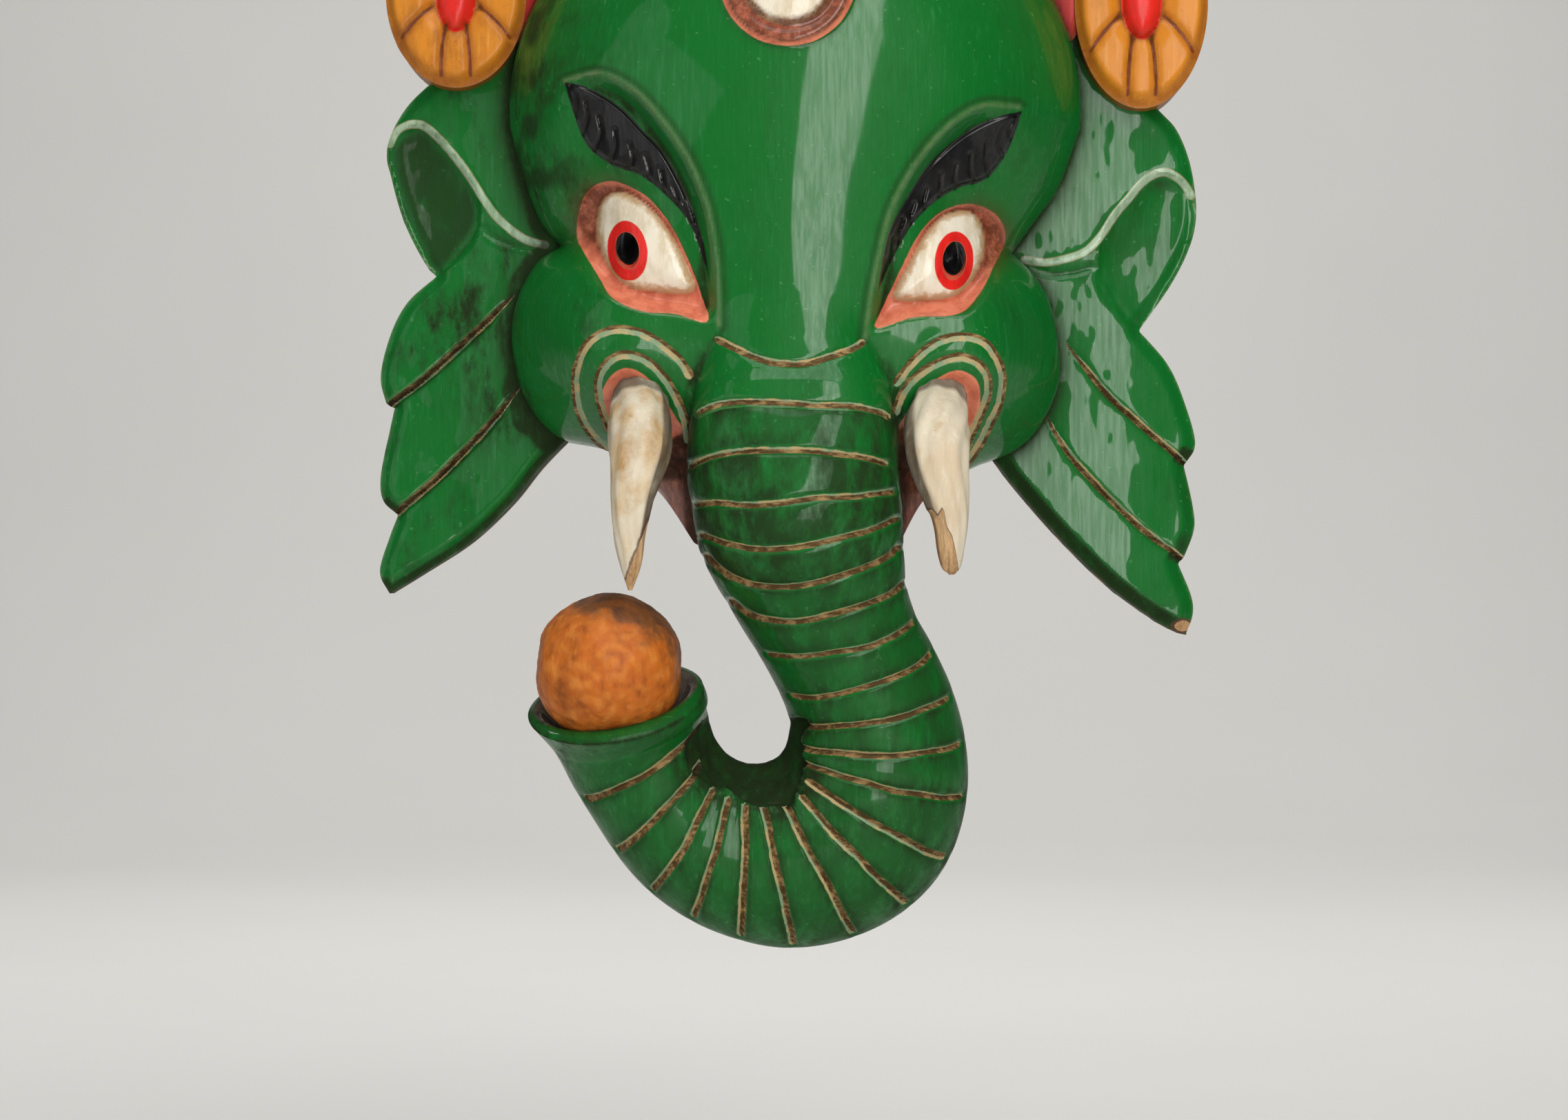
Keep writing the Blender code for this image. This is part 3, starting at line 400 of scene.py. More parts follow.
# %% [markdown]
# ## A carved board
# Head, ears, rosettes and crown are all the same kind of thing: a board with a sawn outline, a carved front
# and a flatter back. The board starts as a grid of small squares. The squares outside the outline go, the
# rim is pulled onto the line, and an extrusion gives the sheet its back and its walls. A Boolean with the
# outline could do the same, but it leaves long thin faces along the rim, and those shade badly under gloss.

# %% Cut a board to its outline
SLOPE_STEP = 0.3


def drawn_places(bm):
    flat = np.array([vert.co for vert in bm.verts])
    return flat[:, 0], flat[:, 2]


def cut_board(reach_at, outline, step, hug=0.0, fine=()):
    """A sheet of small squares trimmed to the line where reach_at is nought, with the rows closer at its rim.

    Inside the outlines in `fine`, where the strokes are thinner than a square, the squares are quartered."""
    low, high = outline.min(axis=0) - step, outline.max(axis=0) + step
    across, up = (math.ceil((high[i] - low[i]) / step) for i in (0, 1))
    bm = bmesh.new()
    bmesh.ops.create_grid(bm, x_segments=across, y_segments=up, size=0.5)
    for vert in bm.verts:
        vert.co = (low[0] + (vert.co.x + 0.5) * across * step, 0, low[1] + (vert.co.y + 0.5) * up * step)
    reach = reach_at(*drawn_places(bm))
    bmesh.ops.delete(bm, geom=[vert for vert, r in zip(bm.verts, reach) if r < -0.35 * step], context="VERTS")
    bmesh.ops.delete(bm, geom=[vert for vert in bm.verts if not vert.link_faces], context="VERTS")
    near = [vert for vert, r in zip(bm.verts, reach_at(*drawn_places(bm))) if r < max(hug, 2 * step)]
    x, z = (np.array([vert.co[i] for vert in near]) for i in (0, 2))
    reach = reach_at(x, z)
    slope_x = (reach_at(x + SLOPE_STEP, z) - reach_at(x - SLOPE_STEP, z)) / (2 * SLOPE_STEP)
    slope_z = (reach_at(x, z + SLOPE_STEP) - reach_at(x, z - SLOPE_STEP)) / (2 * SLOPE_STEP)
    steep = np.maximum(np.hypot(slope_x, slope_z), 0.4)
    on_rim = np.array([vert.is_boundary for vert in near])
    wanted = np.where(reach < hug, hug * (reach / max(hug, 1e-6)) ** 2, reach)
    shift = np.where(on_rim, 0.0, wanted) - reach
    for vert, dx, dz in zip(near, shift * slope_x / steep ** 2, shift * slope_z / steep ** 2):
        vert.co.x += dx
        vert.co.z += dz
    inner = [vert for vert, r in zip(near, reach) if not vert.is_boundary and r < 2 * step]
    for _ in range(3):
        bmesh.ops.smooth_vert(bm, verts=inner, factor=0.5, use_axis_x=True, use_axis_z=True)
    if fine:
        x, z = drawn_places(bm)
        for vert, within in zip(bm.verts, np.max([inside(x, z, shape) for shape in fine], axis=0)):
            vert.tag = bool(within > -1.5)
        edges = [edge for edge in bm.edges if edge.verts[0].tag and edge.verts[1].tag]
        bmesh.ops.subdivide_edges(bm, edges=edges, cuts=1, use_grid_fill=True)
    return bm


# %% Give the board its thickness


def thicken(bm, front_at, back_at, wall_rows):
    """Extrude the sheet to a closed board and stand it up: a carved front, walls and a back."""
    back = bm.verts.layers.float.new("back")
    made = bmesh.ops.extrude_face_region(bm, geom=bm.faces[:], use_keep_orig=True)["geom"]
    for part in made:
        if isinstance(part, bmesh.types.BMVert):
            part[back] = 1.0
    walls = [edge for edge in bm.edges if edge.verts[0][back] != edge.verts[1][back]]
    bmesh.ops.subdivide_edges(bm, edges=walls, cuts=wall_rows, use_grid_fill=True)
    x, z = drawn_places(bm)
    share = np.array([vert[back] for vert in bm.verts])
    depth = np.zeros(len(share))
    depth[share < 1] += (front_at(x[share < 1], z[share < 1]) * (1 - share[share < 1]))
    depth[share > 0] += (back_at(x[share > 0], z[share > 0]) * share[share > 0])
    on_wall = (share > 0.01) & (share < 0.99)
    chatter = lumps(x, depth, z, 5.0, 2.0) * 0.35 * on_wall
    for vert, a, d, c, wobble in zip(bm.verts, x, depth, z, chatter):
        vert.co = (a + wobble, -d, c + wobble)
    return x, depth, z, share


# %% [markdown]
# ## From bmesh to finished piece
# Each piece ends the same way: normals outward, drawing units to metres, soft shading with hard edges where
# the surface really turns. Painted areas, dirt and painted shade are kept as numbers on the points, in
# millimetres from each painted edge, so the materials can draw crisp brush edges finer than the mesh. How
# far a point lies below its surroundings tells where dust settles and where painted shade darkens it, and
# how far it stands above them tells where paint wears off.

# %% Keep values to the front of a board
FAR = -9.0


def on_front(share, values, elsewhere=FAR):
    """Values on the carved front only; `share` is nought there and one on the back."""
    return np.where(share < 0.5, values, elsewhere)


# %% Finish a piece
HARD_EDGE = math.radians(50)
PAINTED = ("white", "salmon", "red", "black", "hair", "pale", "cut", "dust", "bare")
MEASURED = ("hollow", "edge", "crease", "shade", "worn", "upper", "back")


def blurred(values, pairs, rounds):
    """Values averaged with their neighbours along the mesh edges, over and over."""
    count = np.bincount(pairs.ravel(), minlength=len(values))
    for _ in range(rounds):
        total = sum(np.bincount(pairs[:, k], weights=values[pairs[:, 1 - k]], minlength=len(values))
                    for k in (0, 1))
        values = (total / np.maximum(count, 1) + values) / 2
    return values


def finish_piece(name, bm, finish, fields=None):
    """Make the object, with its attributes, and let it ride with the mask."""
    for vert in bm.verts:
        vert.co *= UNIT
    bmesh.ops.recalc_face_normals(bm, faces=bm.faces)
    for face in bm.faces:
        face.smooth = True
    for edge in bm.edges:
        edge.smooth = not (edge.is_manifold and edge.calc_face_angle() > HARD_EDGE)
    mesh = bpy.data.meshes.new(name)
    bm.to_mesh(mesh)
    bm.free()
    count = len(mesh.vertices)
    places, normals = np.empty(count * 3), np.empty(count * 3)
    pairs = np.empty(len(mesh.edges) * 2, dtype=int)
    mesh.vertices.foreach_get("co", places)
    mesh.vertices.foreach_get("normal", normals)
    mesh.edges.foreach_get("vertices", pairs)
    places, normals, pairs = places.reshape(-1, 3) / UNIT, normals.reshape(-1, 3), pairs.reshape(-1, 2)
    fields = dict(fields or {})
    for field, rounds in (("edge", 4), ("hollow", 50)):
        lifted = [blurred(places[:, i], pairs, rounds) - places[:, i] for i in range(3)]
        fields[field] = sum(lifted[i] * normals[:, i] for i in range(3))
    for field in PAINTED + MEASURED:
        values = fields.get(field, np.full(count, FAR if field in PAINTED else 0.0))
        stored = mesh.attributes.get(field) or mesh.attributes.new(field, "FLOAT", "POINT")
        stored.data.foreach_set("value", np.clip(values, FAR, -FAR).astype(np.float32))
    mesh.materials.append(finish)
    piece = bpy.data.objects.new(name, mesh)
    bpy.context.scene.collection.objects.link(piece)
    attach(piece, "root")
    triangles = sum(len(polygon.vertices) - 2 for polygon in mesh.polygons)
    print(name, "has", triangles, "triangles")
    return piece

# %% [markdown]
# ## Brushes for the materials
# Every finish here is built from shader nodes. Short helpers keep the node code readable, and each effect
# that several finishes share, such as brush streaks, hand-painted edges, grime and wood grain, is a node
# group that is built once. The groups give out only colours, masks and heights. The shader itself stays in
# each material.

# %% Small helpers for nodes


def srgb(red, green, blue):
    """A colour as a painter reads it off a picture, turned into the linear values that the renderer wants."""
    return tuple((c / 255 / 12.92 if c <= 10 else ((c / 255 + 0.055) / 1.055) ** 2.4)
                 for c in (red, green, blue)) + (1.0,)


def add(tree, kind, values=None, **settings):
    node = tree.nodes.new(kind)
    for key, value in settings.items():
        setattr(node, key, value)
    for key, value in (values or {}).items():
        if isinstance(value, bpy.types.NodeSocket):
            tree.links.new(value, node.inputs[key])
        else:
            node.inputs[key].default_value = value
    return node


def maths(tree, operation, a, b=0.0, c=0.0, clamp=False):
    return add(tree, "ShaderNodeMath", {0: a, 1: b, 2: c}, operation=operation, use_clamp=clamp).outputs[0]


def times(tree, a, b):
    return maths(tree, "MULTIPLY", a, b)


def between(tree, value, low, high, to_low=0.0, to_high=1.0):
    """Nought below low and one above high, with a soft slope between them."""
    return add(tree, "ShaderNodeMapRange", {0: value, 1: low, 2: high, 3: to_low, 4: to_high},
               interpolation_type="SMOOTHSTEP").outputs[0]


def blend(tree, factor, a, b):
    return add(tree, "ShaderNodeMix", {0: factor, 6: a, 7: b}, data_type="RGBA").outputs[2]


def cloud(tree, size, detail=4.0, roughness=0.55, stretch=(1.0, 1.0, 1.0)):
    """Noise in the piece's own coordinates; size is in metres, and stretch makes it longer along an axis."""
    here = add(tree, "ShaderNodeTexCoord").outputs["Object"]
    placed = add(tree, "ShaderNodeMapping", {0: here, 3: tuple(1 / s for s in stretch)}).outputs[0]
    return add(tree, "ShaderNodeTexNoise", {"Vector": placed, "Scale": 1 / size, "Detail": detail,
                                            "Roughness": roughness}).outputs[0]


def effect(name, inputs, outputs):
    """A new node group with named inputs and outputs."""
    group = bpy.data.node_groups.new(name, "ShaderNodeTree")
    for label, value in inputs.items():
        kind = "NodeSocketColor" if isinstance(value, tuple) else "NodeSocketFloat"
        group.interface.new_socket(label, in_out="INPUT", socket_type=kind).default_value = value
    for label, kind in outputs.items():
        group.interface.new_socket(label, in_out="OUTPUT", socket_type="NodeSocket" + kind)
    return group, group.nodes.new("NodeGroupInput").outputs, group.nodes.new("NodeGroupOutput").inputs


def fill(tree, group, values):
    return add(tree, "ShaderNodeGroup", values, node_tree=group)


# %% Brush streaks, the colour of a painted surface
streaks, ins, outs = effect("brush_streaks", {"Light": srgb(60, 150, 80), "Middle": srgb(20, 105, 45),
                                              "Dark": srgb(10, 70, 28)},
                            {"Color": "Color", "Streak": "Float"})
fine = cloud(streaks, 0.0016, 6.0, 0.62, (1.0, 1.0, 14.0))
broad = cloud(streaks, 0.022, 6.0, 0.66, (1.0, 1.0, 3.0))
patches = cloud(streaks, 0.085, 3.0, 0.5)
lighter = times(streaks, between(streaks, fine, 0.50, 0.78), between(streaks, broad, 0.35, 0.70))
darker = times(streaks, between(streaks, broad, 0.48, 0.66, 0.0, 0.5),
               between(streaks, patches, 0.42, 0.62))
tone = blend(streaks, lighter, ins["Middle"], ins["Light"])
tone = blend(streaks, darker, tone, ins["Dark"])
streaks.links.new(tone, outs["Color"])
streaks.links.new(fine, outs["Streak"])

# %% A hand-painted edge: the measured edge, wavering a little
brush_edge, ins, outs = effect("brush_edge", {"Distance": 0.0, "Waver": 0.5, "Softness": 0.25},
                               {"Mask": "Float"})
waver = maths(brush_edge, "SUBTRACT", cloud(brush_edge, 0.0045, 4.0, 0.6), 0.5)
wavering = maths(brush_edge, "MULTIPLY_ADD", waver, ins["Waver"], ins["Distance"])
soft_low = times(brush_edge, ins["Softness"], -1.0)
brush_edge.links.new(between(brush_edge, wavering, soft_low, ins["Softness"]), outs["Mask"])

# %% Dirt and painted shade in hollows and creases, and blotches of dirt where hands never polished it off
grime_and_shade, ins, outs = effect("grime_and_shade", {"Hollow": 0.0, "Crease": 0.0, "Blotches": 0.3}, {"Mask": "Float"})
ragged = cloud(grime_and_shade, 0.008, 7.0, 0.7, (1.0, 1.0, 2.0))
wide = cloud(grime_and_shade, 0.040, 6.0, 0.62, (1.0, 1.0, 1.5))
darker_hollows = times(grime_and_shade, between(grime_and_shade, ins["Hollow"], 0.15, 1.5), between(grime_and_shade, ragged, 0.25, 0.60))
creased = times(grime_and_shade, ins["Crease"], between(grime_and_shade, ragged, 0.15, 0.55, 0.45, 1.0))
blotch = times(grime_and_shade, between(grime_and_shade, wide, 0.46, 0.64), between(grime_and_shade, ragged, 0.38, 0.66))
blotch = times(grime_and_shade, blotch, ins["Blotches"])
dirt_and_shade = maths(grime_and_shade, "MAXIMUM", maths(grime_and_shade, "MAXIMUM", darker_hollows, creased), blotch, clamp=True)
grime_and_shade.links.new(dirt_and_shade, outs["Mask"])

# %% Wood grain, running up and down the block
grain, ins, outs = effect("wood_grain", {"Pale": srgb(214, 178, 134), "Dark": srgb(158, 116, 76)},
                          {"Color": "Color", "Fibre": "Float"})
fibre = cloud(grain, 0.0011, 5.0, 0.6, (1.0, 1.0, 26.0))
bands = cloud(grain, 0.008, 3.0, 0.5, (1.0, 1.0, 9.0))
shade = maths(grain, "ADD", times(grain, fibre, 0.55), times(grain, bands, 0.6))
grain.links.new(blend(grain, between(grain, shade, 0.38, 0.78), ins["Pale"], ins["Dark"]), outs["Color"])
grain.links.new(fibre, outs["Fibre"])
print("node groups:", [group.name for group in bpy.data.node_groups])

# %% [markdown]
# ## Painted wood
# The carver laid on the paint in coats: green over everything, then the lids, eyes and brows, then thin
# lines with a small brush. Later came a thin lacquer, and years of dust in the cuts. The material stacks
# the same coats in the same order. Over them it lays painted shade: darker in hollows, creases and joints,
# under edges and on the side away from the key light. Each coat has its own mask, made from the distances
# stored on the points. Height is kept in millimetres, and one Bump node with a distance of one millimetre
# turns it into relief.

# %% Coats of paint, one over the other
CLEAN_COATS = ("salmon", "white", "red")


def stored(tree, field):
    """A number that finish_piece kept on the points."""
    return add(tree, "ShaderNodeAttribute", attribute_name=field).outputs["Fac"]


def lay_coats(tree, coats, colour, sheen):
    """Painted areas over the ground. A coat is a field, two colours, waver, roughness and rim stain."""
    clean = 0.0
    for field, light, dark, waver, gloss, stain in coats:
        measured = stored(tree, field)
        mask = fill(tree, brush_edge, {"Distance": measured, "Waver": waver,
                                       "Softness": max(0.25, 0.4 * waver)}).outputs[0]
        mottle = cloud(tree, 0.006, 5.0, 0.65, (1.0, 1.0, 2.5))
        own = blend(tree, between(tree, mottle, 0.38, 0.68), light, dark)
        if stain:
            stain_colour, stain_width = stain
            rim_noise = times(tree, cloud(tree, 0.005, 6.0, 0.7), 2.2 * stain_width)
            near_rim = between(tree, maths(tree, "SUBTRACT", rim_noise, measured), 0.0, 0.75 * stain_width)
            own = blend(tree, times(tree, near_rim, 0.75), own, stain_colour)
        colour = blend(tree, mask, colour, own)
        sheen = add(tree, "ShaderNodeMix", {0: mask, 2: sheen, 3: gloss}).outputs[0]
        if field in CLEAN_COATS:
            clean = maths(tree, "MAXIMUM", clean, mask)
    return colour, sheen, clean


# %% Wear, painted shade and dirt
RUBBED_PAINT = srgb(126, 138, 100)


def weather_and_shade(tree, colour, clean, rub_noise, blotches, shade_colour, dirt_and_shade_colour):
    """Pale rubbed edges, painted shade from the shade field, and dirt and painted shade in hollows and
    creases.
    """
    rubbed = between(tree, times(tree, stored(tree, "edge"), -1.0), 0.16, 0.6)
    rubbed = maths(tree, "MAXIMUM", times(tree, rubbed, 0.35), times(tree, stored(tree, "worn"), 0.75))
    worn = times(tree, rubbed, between(tree, rub_noise, 0.30, 0.60, 0.45, 1.0))
    colour = blend(tree, worn, colour, RUBBED_PAINT)
    broken = between(tree, cloud(tree, 0.006, 7.0, 0.75), 0.34, 0.58, 0.55, 1.0)
    shaded = times(tree, times(tree, stored(tree, "shade"), broken), 0.9)
    colour = blend(tree, shaded, colour, shade_colour)
    # The crease and hollow fields darken the colour: dirt, and painted shade.
    crease = stored(tree, "crease")
    dirt_and_shade = fill(tree, grime_and_shade, {"Hollow": stored(tree, "hollow"), "Crease": crease, "Blotches": blotches})
    cleaned = times(tree, clean, maths(tree, "MULTIPLY_ADD", between(tree, crease, 0.45, 0.8), -0.8, 0.8))
    dirt_and_shade = times(tree, dirt_and_shade.outputs[0], maths(tree, "SUBTRACT", 1.0, cleaned))
    return blend(tree, times(tree, dirt_and_shade, 0.86), colour, dirt_and_shade_colour), dirt_and_shade


# %% The colours inside a V-cut
LIP_GREEN, LIP_TAN = srgb(138, 160, 126), srgb(186, 166, 120)
CUT_FLOOR, CUT_FIBRES = srgb(86, 64, 36), srgb(164, 134, 90)


def cut_paint(tree, dirt_and_shade_colour):
    """Where the V-cuts are, and their colour: brown fibres, with painted shade deep in, and a pale upper lip.
    """
    in_cut = fill(tree, brush_edge, {"Distance": stored(tree, "cut"), "Waver": 1.1,
                                     "Softness": 0.18}).outputs[0]
    wavering_side = maths(tree, "MULTIPLY_ADD", cloud(tree, 0.005, 5.0, 0.65), 1.6,
                          maths(tree, "SUBTRACT", stored(tree, "upper"), 0.8))
    # The pale lip on each cut's upper side is partly pale paint and partly a painted highlight.
    on_lip = between(tree, wavering_side, 0.45, 0.75)
    lip = blend(tree, between(tree, cloud(tree, 0.009), 0.42, 0.58), LIP_GREEN, LIP_TAN)
    fibres = cloud(tree, 0.003, 5.0, 0.7, (3.0, 1.0, 1.0))
    floor = blend(tree, between(tree, fibres, 0.44, 0.66), CUT_FLOOR, CUT_FIBRES)
    # Painted shade darkens the floor of the cut where the crease field says.
    floor = blend(tree, times(tree, stored(tree, "crease"), 0.85), floor, dirt_and_shade_colour)
    return in_cut, blend(tree, on_lip, floor, lip)


# %% Bare wood where paint is chipped, and on the back
TORN_PAINT = srgb(92, 62, 52)


def show_wood(tree, colour, wood, rub_noise):
    """Chips and the whole back show wood, and a chip has a torn brown rim."""
    chipped = stored(tree, "bare")
    back = between(tree, maths(tree, "MULTIPLY_ADD", rub_noise, 0.12, stored(tree, "back")), 0.90, 0.96)
    bare = fill(tree, brush_edge, {"Distance": chipped, "Waver": 1.6, "Softness": 0.15}).outputs[0]
    torn = fill(tree, brush_edge, {"Distance": maths(tree, "ADD", chipped, 0.9), "Waver": 2.2}).outputs[0]
    colour = blend(tree, times(tree, torn, 0.8), colour, TORN_PAINT)
    bare = maths(tree, "MAXIMUM", bare, back, clamp=True)
    return blend(tree, bare, colour, wood.outputs["Color"]), bare


# %% A painted finish from all of these
BUMP_MILLIMETRE = 0.001


def painted_finish(name, ground, coats, blotches, lacquer=0.6, roughness=0.45, coat_roughness=0.06,
                   dirt_and_shade_colour=srgb(30, 22, 12), relief=1.0, shade_colour=srgb(84, 38, 14),
                   specks=srgb(84, 150, 92)):
    """A painted surface: streaky ground colour, painted areas over it, wear, dirt and painted shade, cuts and
    bare wood.
    """
    made = bpy.data.materials.new(name)
    made.use_nodes = True
    tree = made.node_tree
    shader = tree.nodes["Principled BSDF"]

    paint = fill(tree, streaks, dict(zip(("Light", "Middle", "Dark"), ground)))
    wood = fill(tree, grain, {})
    streak, rub_noise = paint.outputs["Streak"], cloud(tree, 0.004, 5.0, 0.65)
    spatter = between(tree, cloud(tree, 0.0026, 2.0, 0.5), 0.70, 0.73)
    colour = blend(tree, times(tree, spatter, 0.35), paint.outputs["Color"], specks)
    sheen = maths(tree, "MULTIPLY_ADD", streak, 0.16, roughness - 0.08)
    colour, sheen, clean = lay_coats(tree, coats, colour, sheen)
    colour, dirt_and_shade = weather_and_shade(tree, colour, clean, rub_noise, blotches(tree), shade_colour, dirt_and_shade_colour)
    in_cut, cut_colour = cut_paint(tree, dirt_and_shade_colour)
    colour, bare = show_wood(tree, blend(tree, in_cut, colour, cut_colour), wood, rub_noise)
    tree.links.new(colour, shader.inputs["Base Color"])

    dull = maths(tree, "MAXIMUM", maths(tree, "MAXIMUM", dirt_and_shade, in_cut), bare, clamp=True)
    tree.links.new(maths(tree, "MULTIPLY_ADD", dull, 0.34, sheen, clamp=True), shader.inputs["Roughness"])
    streaky = between(tree, streak, 0.35, 0.65, 0.55 * lacquer, lacquer)
    coat = maths(tree, "MULTIPLY", maths(tree, "SUBTRACT", 1.0, dull), streaky, clamp=True)
    tree.links.new(coat, shader.inputs["Coat Weight"])
    shader.inputs["Coat Roughness"].default_value = coat_roughness
    shader.inputs["Specular IOR Level"].default_value = 0.16

    height = times(tree, streak, 0.16 * relief)
    height = maths(tree, "MULTIPLY_ADD", cloud(tree, 0.011, 2.0, 0.4), 0.35 * relief, height)
    height = maths(tree, "MULTIPLY_ADD", wood.outputs["Fibre"], times(tree, bare, 0.5), height)
    height = maths(tree, "MULTIPLY_ADD", in_cut, -0.30, height)
    height = maths(tree, "MULTIPLY_ADD", times(tree, in_cut, rub_noise), 0.5, height)
    bump = add(tree, "ShaderNodeBump", {"Strength": 1.0, "Distance": BUMP_MILLIMETRE, "Height": height})
    tree.links.new(bump.outputs[0], shader.inputs["Normal"])
    print("finish", name, "has", len(tree.nodes), "nodes")
    return made


# %% How much of a finish is blotched, and where


def everywhere(amount):
    """The same share of blotches all over."""
    return lambda tree: amount


def blotched_and_shaded_to_left(left, right):
    """Dirt blotches and painted shade, from one share at the viewer's left ear to another at the middle."""

    def made(tree):
        here = add(tree, "ShaderNodeTexCoord").outputs["Object"]
        x = add(tree, "ShaderNodeSeparateXYZ", {0: here}).outputs[0]
        return between(tree, x, -0.12, -0.03, left, right)

    return made


# %% The green of the head, ears and trunk
GREEN = (srgb(34, 128, 64), srgb(4, 104, 34), srgb(16, 76, 18))
SALMON = (srgb(236, 138, 106), srgb(212, 110, 82))
WHITE = (srgb(236, 226, 206), srgb(214, 198, 168))
RED = (srgb(232, 40, 32), srgb(206, 30, 26))
BLACK = (srgb(14, 14, 15), srgb(26, 26, 28))
MINT = (srgb(176, 200, 170), srgb(128, 160, 124))
DUST = (srgb(112, 100, 88), srgb(74, 66, 54))
TAN_STAIN = srgb(176, 128, 72)
# The green grows more blotched towards the viewer's left: dirt, and painted shade on the side away from the
# key light.
green_paint = painted_finish(
    "lacquered_green", GREEN,
    [("salmon", *SALMON, 0.7, 0.5, None), ("white", *WHITE, 0.5, 0.4, (TAN_STAIN, 3.2)),
     ("red", *RED, 0.5, 0.35, None), ("black", *BLACK, 0.6, 0.30, None),
     ("hair", srgb(5, 5, 5), srgb(9, 9, 8), 0.5, 0.35, None),
     ("pale", *MINT, 0.7, 0.4, (srgb(150, 128, 88), 0.5)), ("dust", *DUST, 2.0, 0.75, None)],
    blotched_and_shaded_to_left(1.0, 0.14))

# %% [markdown]
# ## The face
# The face is one board with the carved front and the hollow behind it. The two pupils are holes right
# through, as on a mask that a dancer looks out of. They are cut from the sheet before it is thickened, so
# their walls come with the extrusion.

# %% The hollow behind the face
WALL = 0.015 / UNIT
hollow_angles = np.linspace(math.radians(-8), math.radians(188), 44)
hollow_top = [(DOME_CENTRE[0] + (DOME_HALF[0] - WALL) * math.cos(a),
               DOME_CENTRE[1] + (DOME_HALF[1] - 1.4 * WALL) * math.sin(a)) for a in hollow_angles]
hollow_low = curve([hollow_top[-1], (-80, -162), (-92, -185), (-90, -208), (-60, -224), (0, -226), (60, -226),
                    (88, -210), (90, -186), (80, -164), hollow_top[0]], 6)
HOLLOW_OUTLINE = joined(hollow_top, hollow_low)


def hollow_depth(x, z):
    """How far the hollow reaches forward from the wall, nought on the flat rim round it."""
    form = broad_form(x, z) - EYE_RECESS - LID_STEP - WALL
    cut = form * quarter_round(inside(x, z, HOLLOW_OUTLINE) / (edge_radius(z) - 8))
    gouged = 0.7 * lumps(x, 0 * x, z, 9.0, 5.0) * ease(cut / 8)
    return np.maximum(cut + gouged, 0)


# %% Cut and carve the face
FACE_STEP = 1.15
FACE_WALL_ROWS = 5
PUPIL_CLIMB, PUPIL_NARROWING, PUPIL_PULL_REACH = 12.5, 0.6, 20.0


def face_reach(x, z):
    reach = inside(x, z, HEAD_OUTLINE)
    for k in range(2):
        reach = np.minimum(reach, -inside(x, z, oval(PUPILS[k], *PUPIL_HALVES[k], 32, PUPIL_LEANS[k])))
    return reach


def most(x, z, outlines):
    return np.max([inside(x, z, outline) for outline in outlines], axis=0)


def climb_pupils(bm, x, z, share):
    """Lean both pupil holes upwards and narrow them as they go in, so that no light shows through."""
    for centre, halves, lean in zip(PUPILS, PUPIL_HALVES, PUPIL_LEANS):
        around = np.maximum(-inside(x, z, oval(centre, *halves, 32, lean)), 0)
        pull = share * np.exp(-(around / PUPIL_PULL_REACH) ** 2)
        for vert, amount in zip(bm.verts, pull):
            if amount > 0.01:
                vert.co.x -= amount * PUPIL_NARROWING * (vert.co.x - centre[0])
                vert.co.z += amount * (PUPIL_CLIMB - PUPIL_NARROWING * (vert.co.z - centre[1]))


EYE_CORNERS = true_place([(-84.0, -143.0), (84.5, -154.0)], CHEEK_DEPTH)
bm = cut_board(face_reach, HEAD_OUTLINE, FACE_STEP, hug=9.0, fine=BROWS)
x, depth, z, share = thicken(bm, face_depth, hollow_depth, FACE_WALL_ROWS)
climb_pupils(bm, x, z, share)
print("the face stands", depth.max().round(1), "units out at its highest")

# %% Where each coat of the face ends
in_iris = most(x, z, [oval(PUPILS[k], *IRIS_HALVES[k], 40, PUPIL_LEANS[k]) for k in (0, 1)])
in_pupil = (share > 0.01) & (in_iris > 0)
from_tika = np.hypot(x - TIKA_CENTRE[0], z - TIKA_CENTRE[1])
lids = most(x, z, [*EYELIDS, *SOCKETS, *MOUTH_SIDES])
arc_gap, arc_side, _ = nearest_line(x, z, CHEEK_ARCS)
nose_gap, nose_side = distance(x, z, NOSE_LINE)
seam_gap, seam_side = distance(x, z, SEAM)
upper = np.where(arc_gap < nose_gap, 0.9 + arc_gap * arc_side * np.sign(-x), nose_gap * nose_side)
upper = np.where(seam_gap < np.minimum(arc_gap, nose_gap), seam_gap * seam_side, upper)
print("points of the face under paint of the lids:", int((lids > 0).sum()))

# %% Painted shade, wear and dirt of the face
# Painted shade in the outer corners of the eyes and under the upper lids; the shade field also carries the
# brown of the tika's ring.
corner = np.max([np.exp(-(np.hypot(x - a, z - c) / 13) ** 2) for a, c in EYE_CORNERS], axis=0)
off_eye = -most(x, z, EYEBALLS)
in_ring = ease((TIKA_RADIUS - 1.0 - from_tika) / 1.4) * ease((from_tika - TIKA_INNER_RADIUS + 4) / 3)
# Painted shade over the mouth beside the trunk; at its top it turns to a painted shadow.
in_mouth = ease((most(x, z, MOUTH_SIDES) + 1) / 3) * (0.8 + 0.2 * ease((z + 275) / 20))
mouth_shadow = in_mouth * ease((z + 262) / 12)
upper_lid = ease((z + 168) / 16)
eye_shade = (np.exp(-np.maximum(off_eye, 0) / 6) * corner * 3.4 * ease((off_eye + 0.6) / 0.8)
             + (0.25 + 0.6 * upper_lid) * np.exp(-((off_eye - 0.5) / 0.9) ** 2))
trunk_half = np.interp(z, SNOUT_ROWS[:, 0], (SNOUT_ROWS[:, 2] - SNOUT_ROWS[:, 1]) / 2)
beside_trunk = np.abs(np.abs(x - 2) - trunk_half)
trunk_shadow = np.exp(-np.maximum(beside_trunk - 2, 0) / 4) * ease((-226 - z) / 12) * (np.abs(x) > 30)
ridge_gap, ridge_side, which_ridge = nearest_line(x, z, BROW_RIDGES)
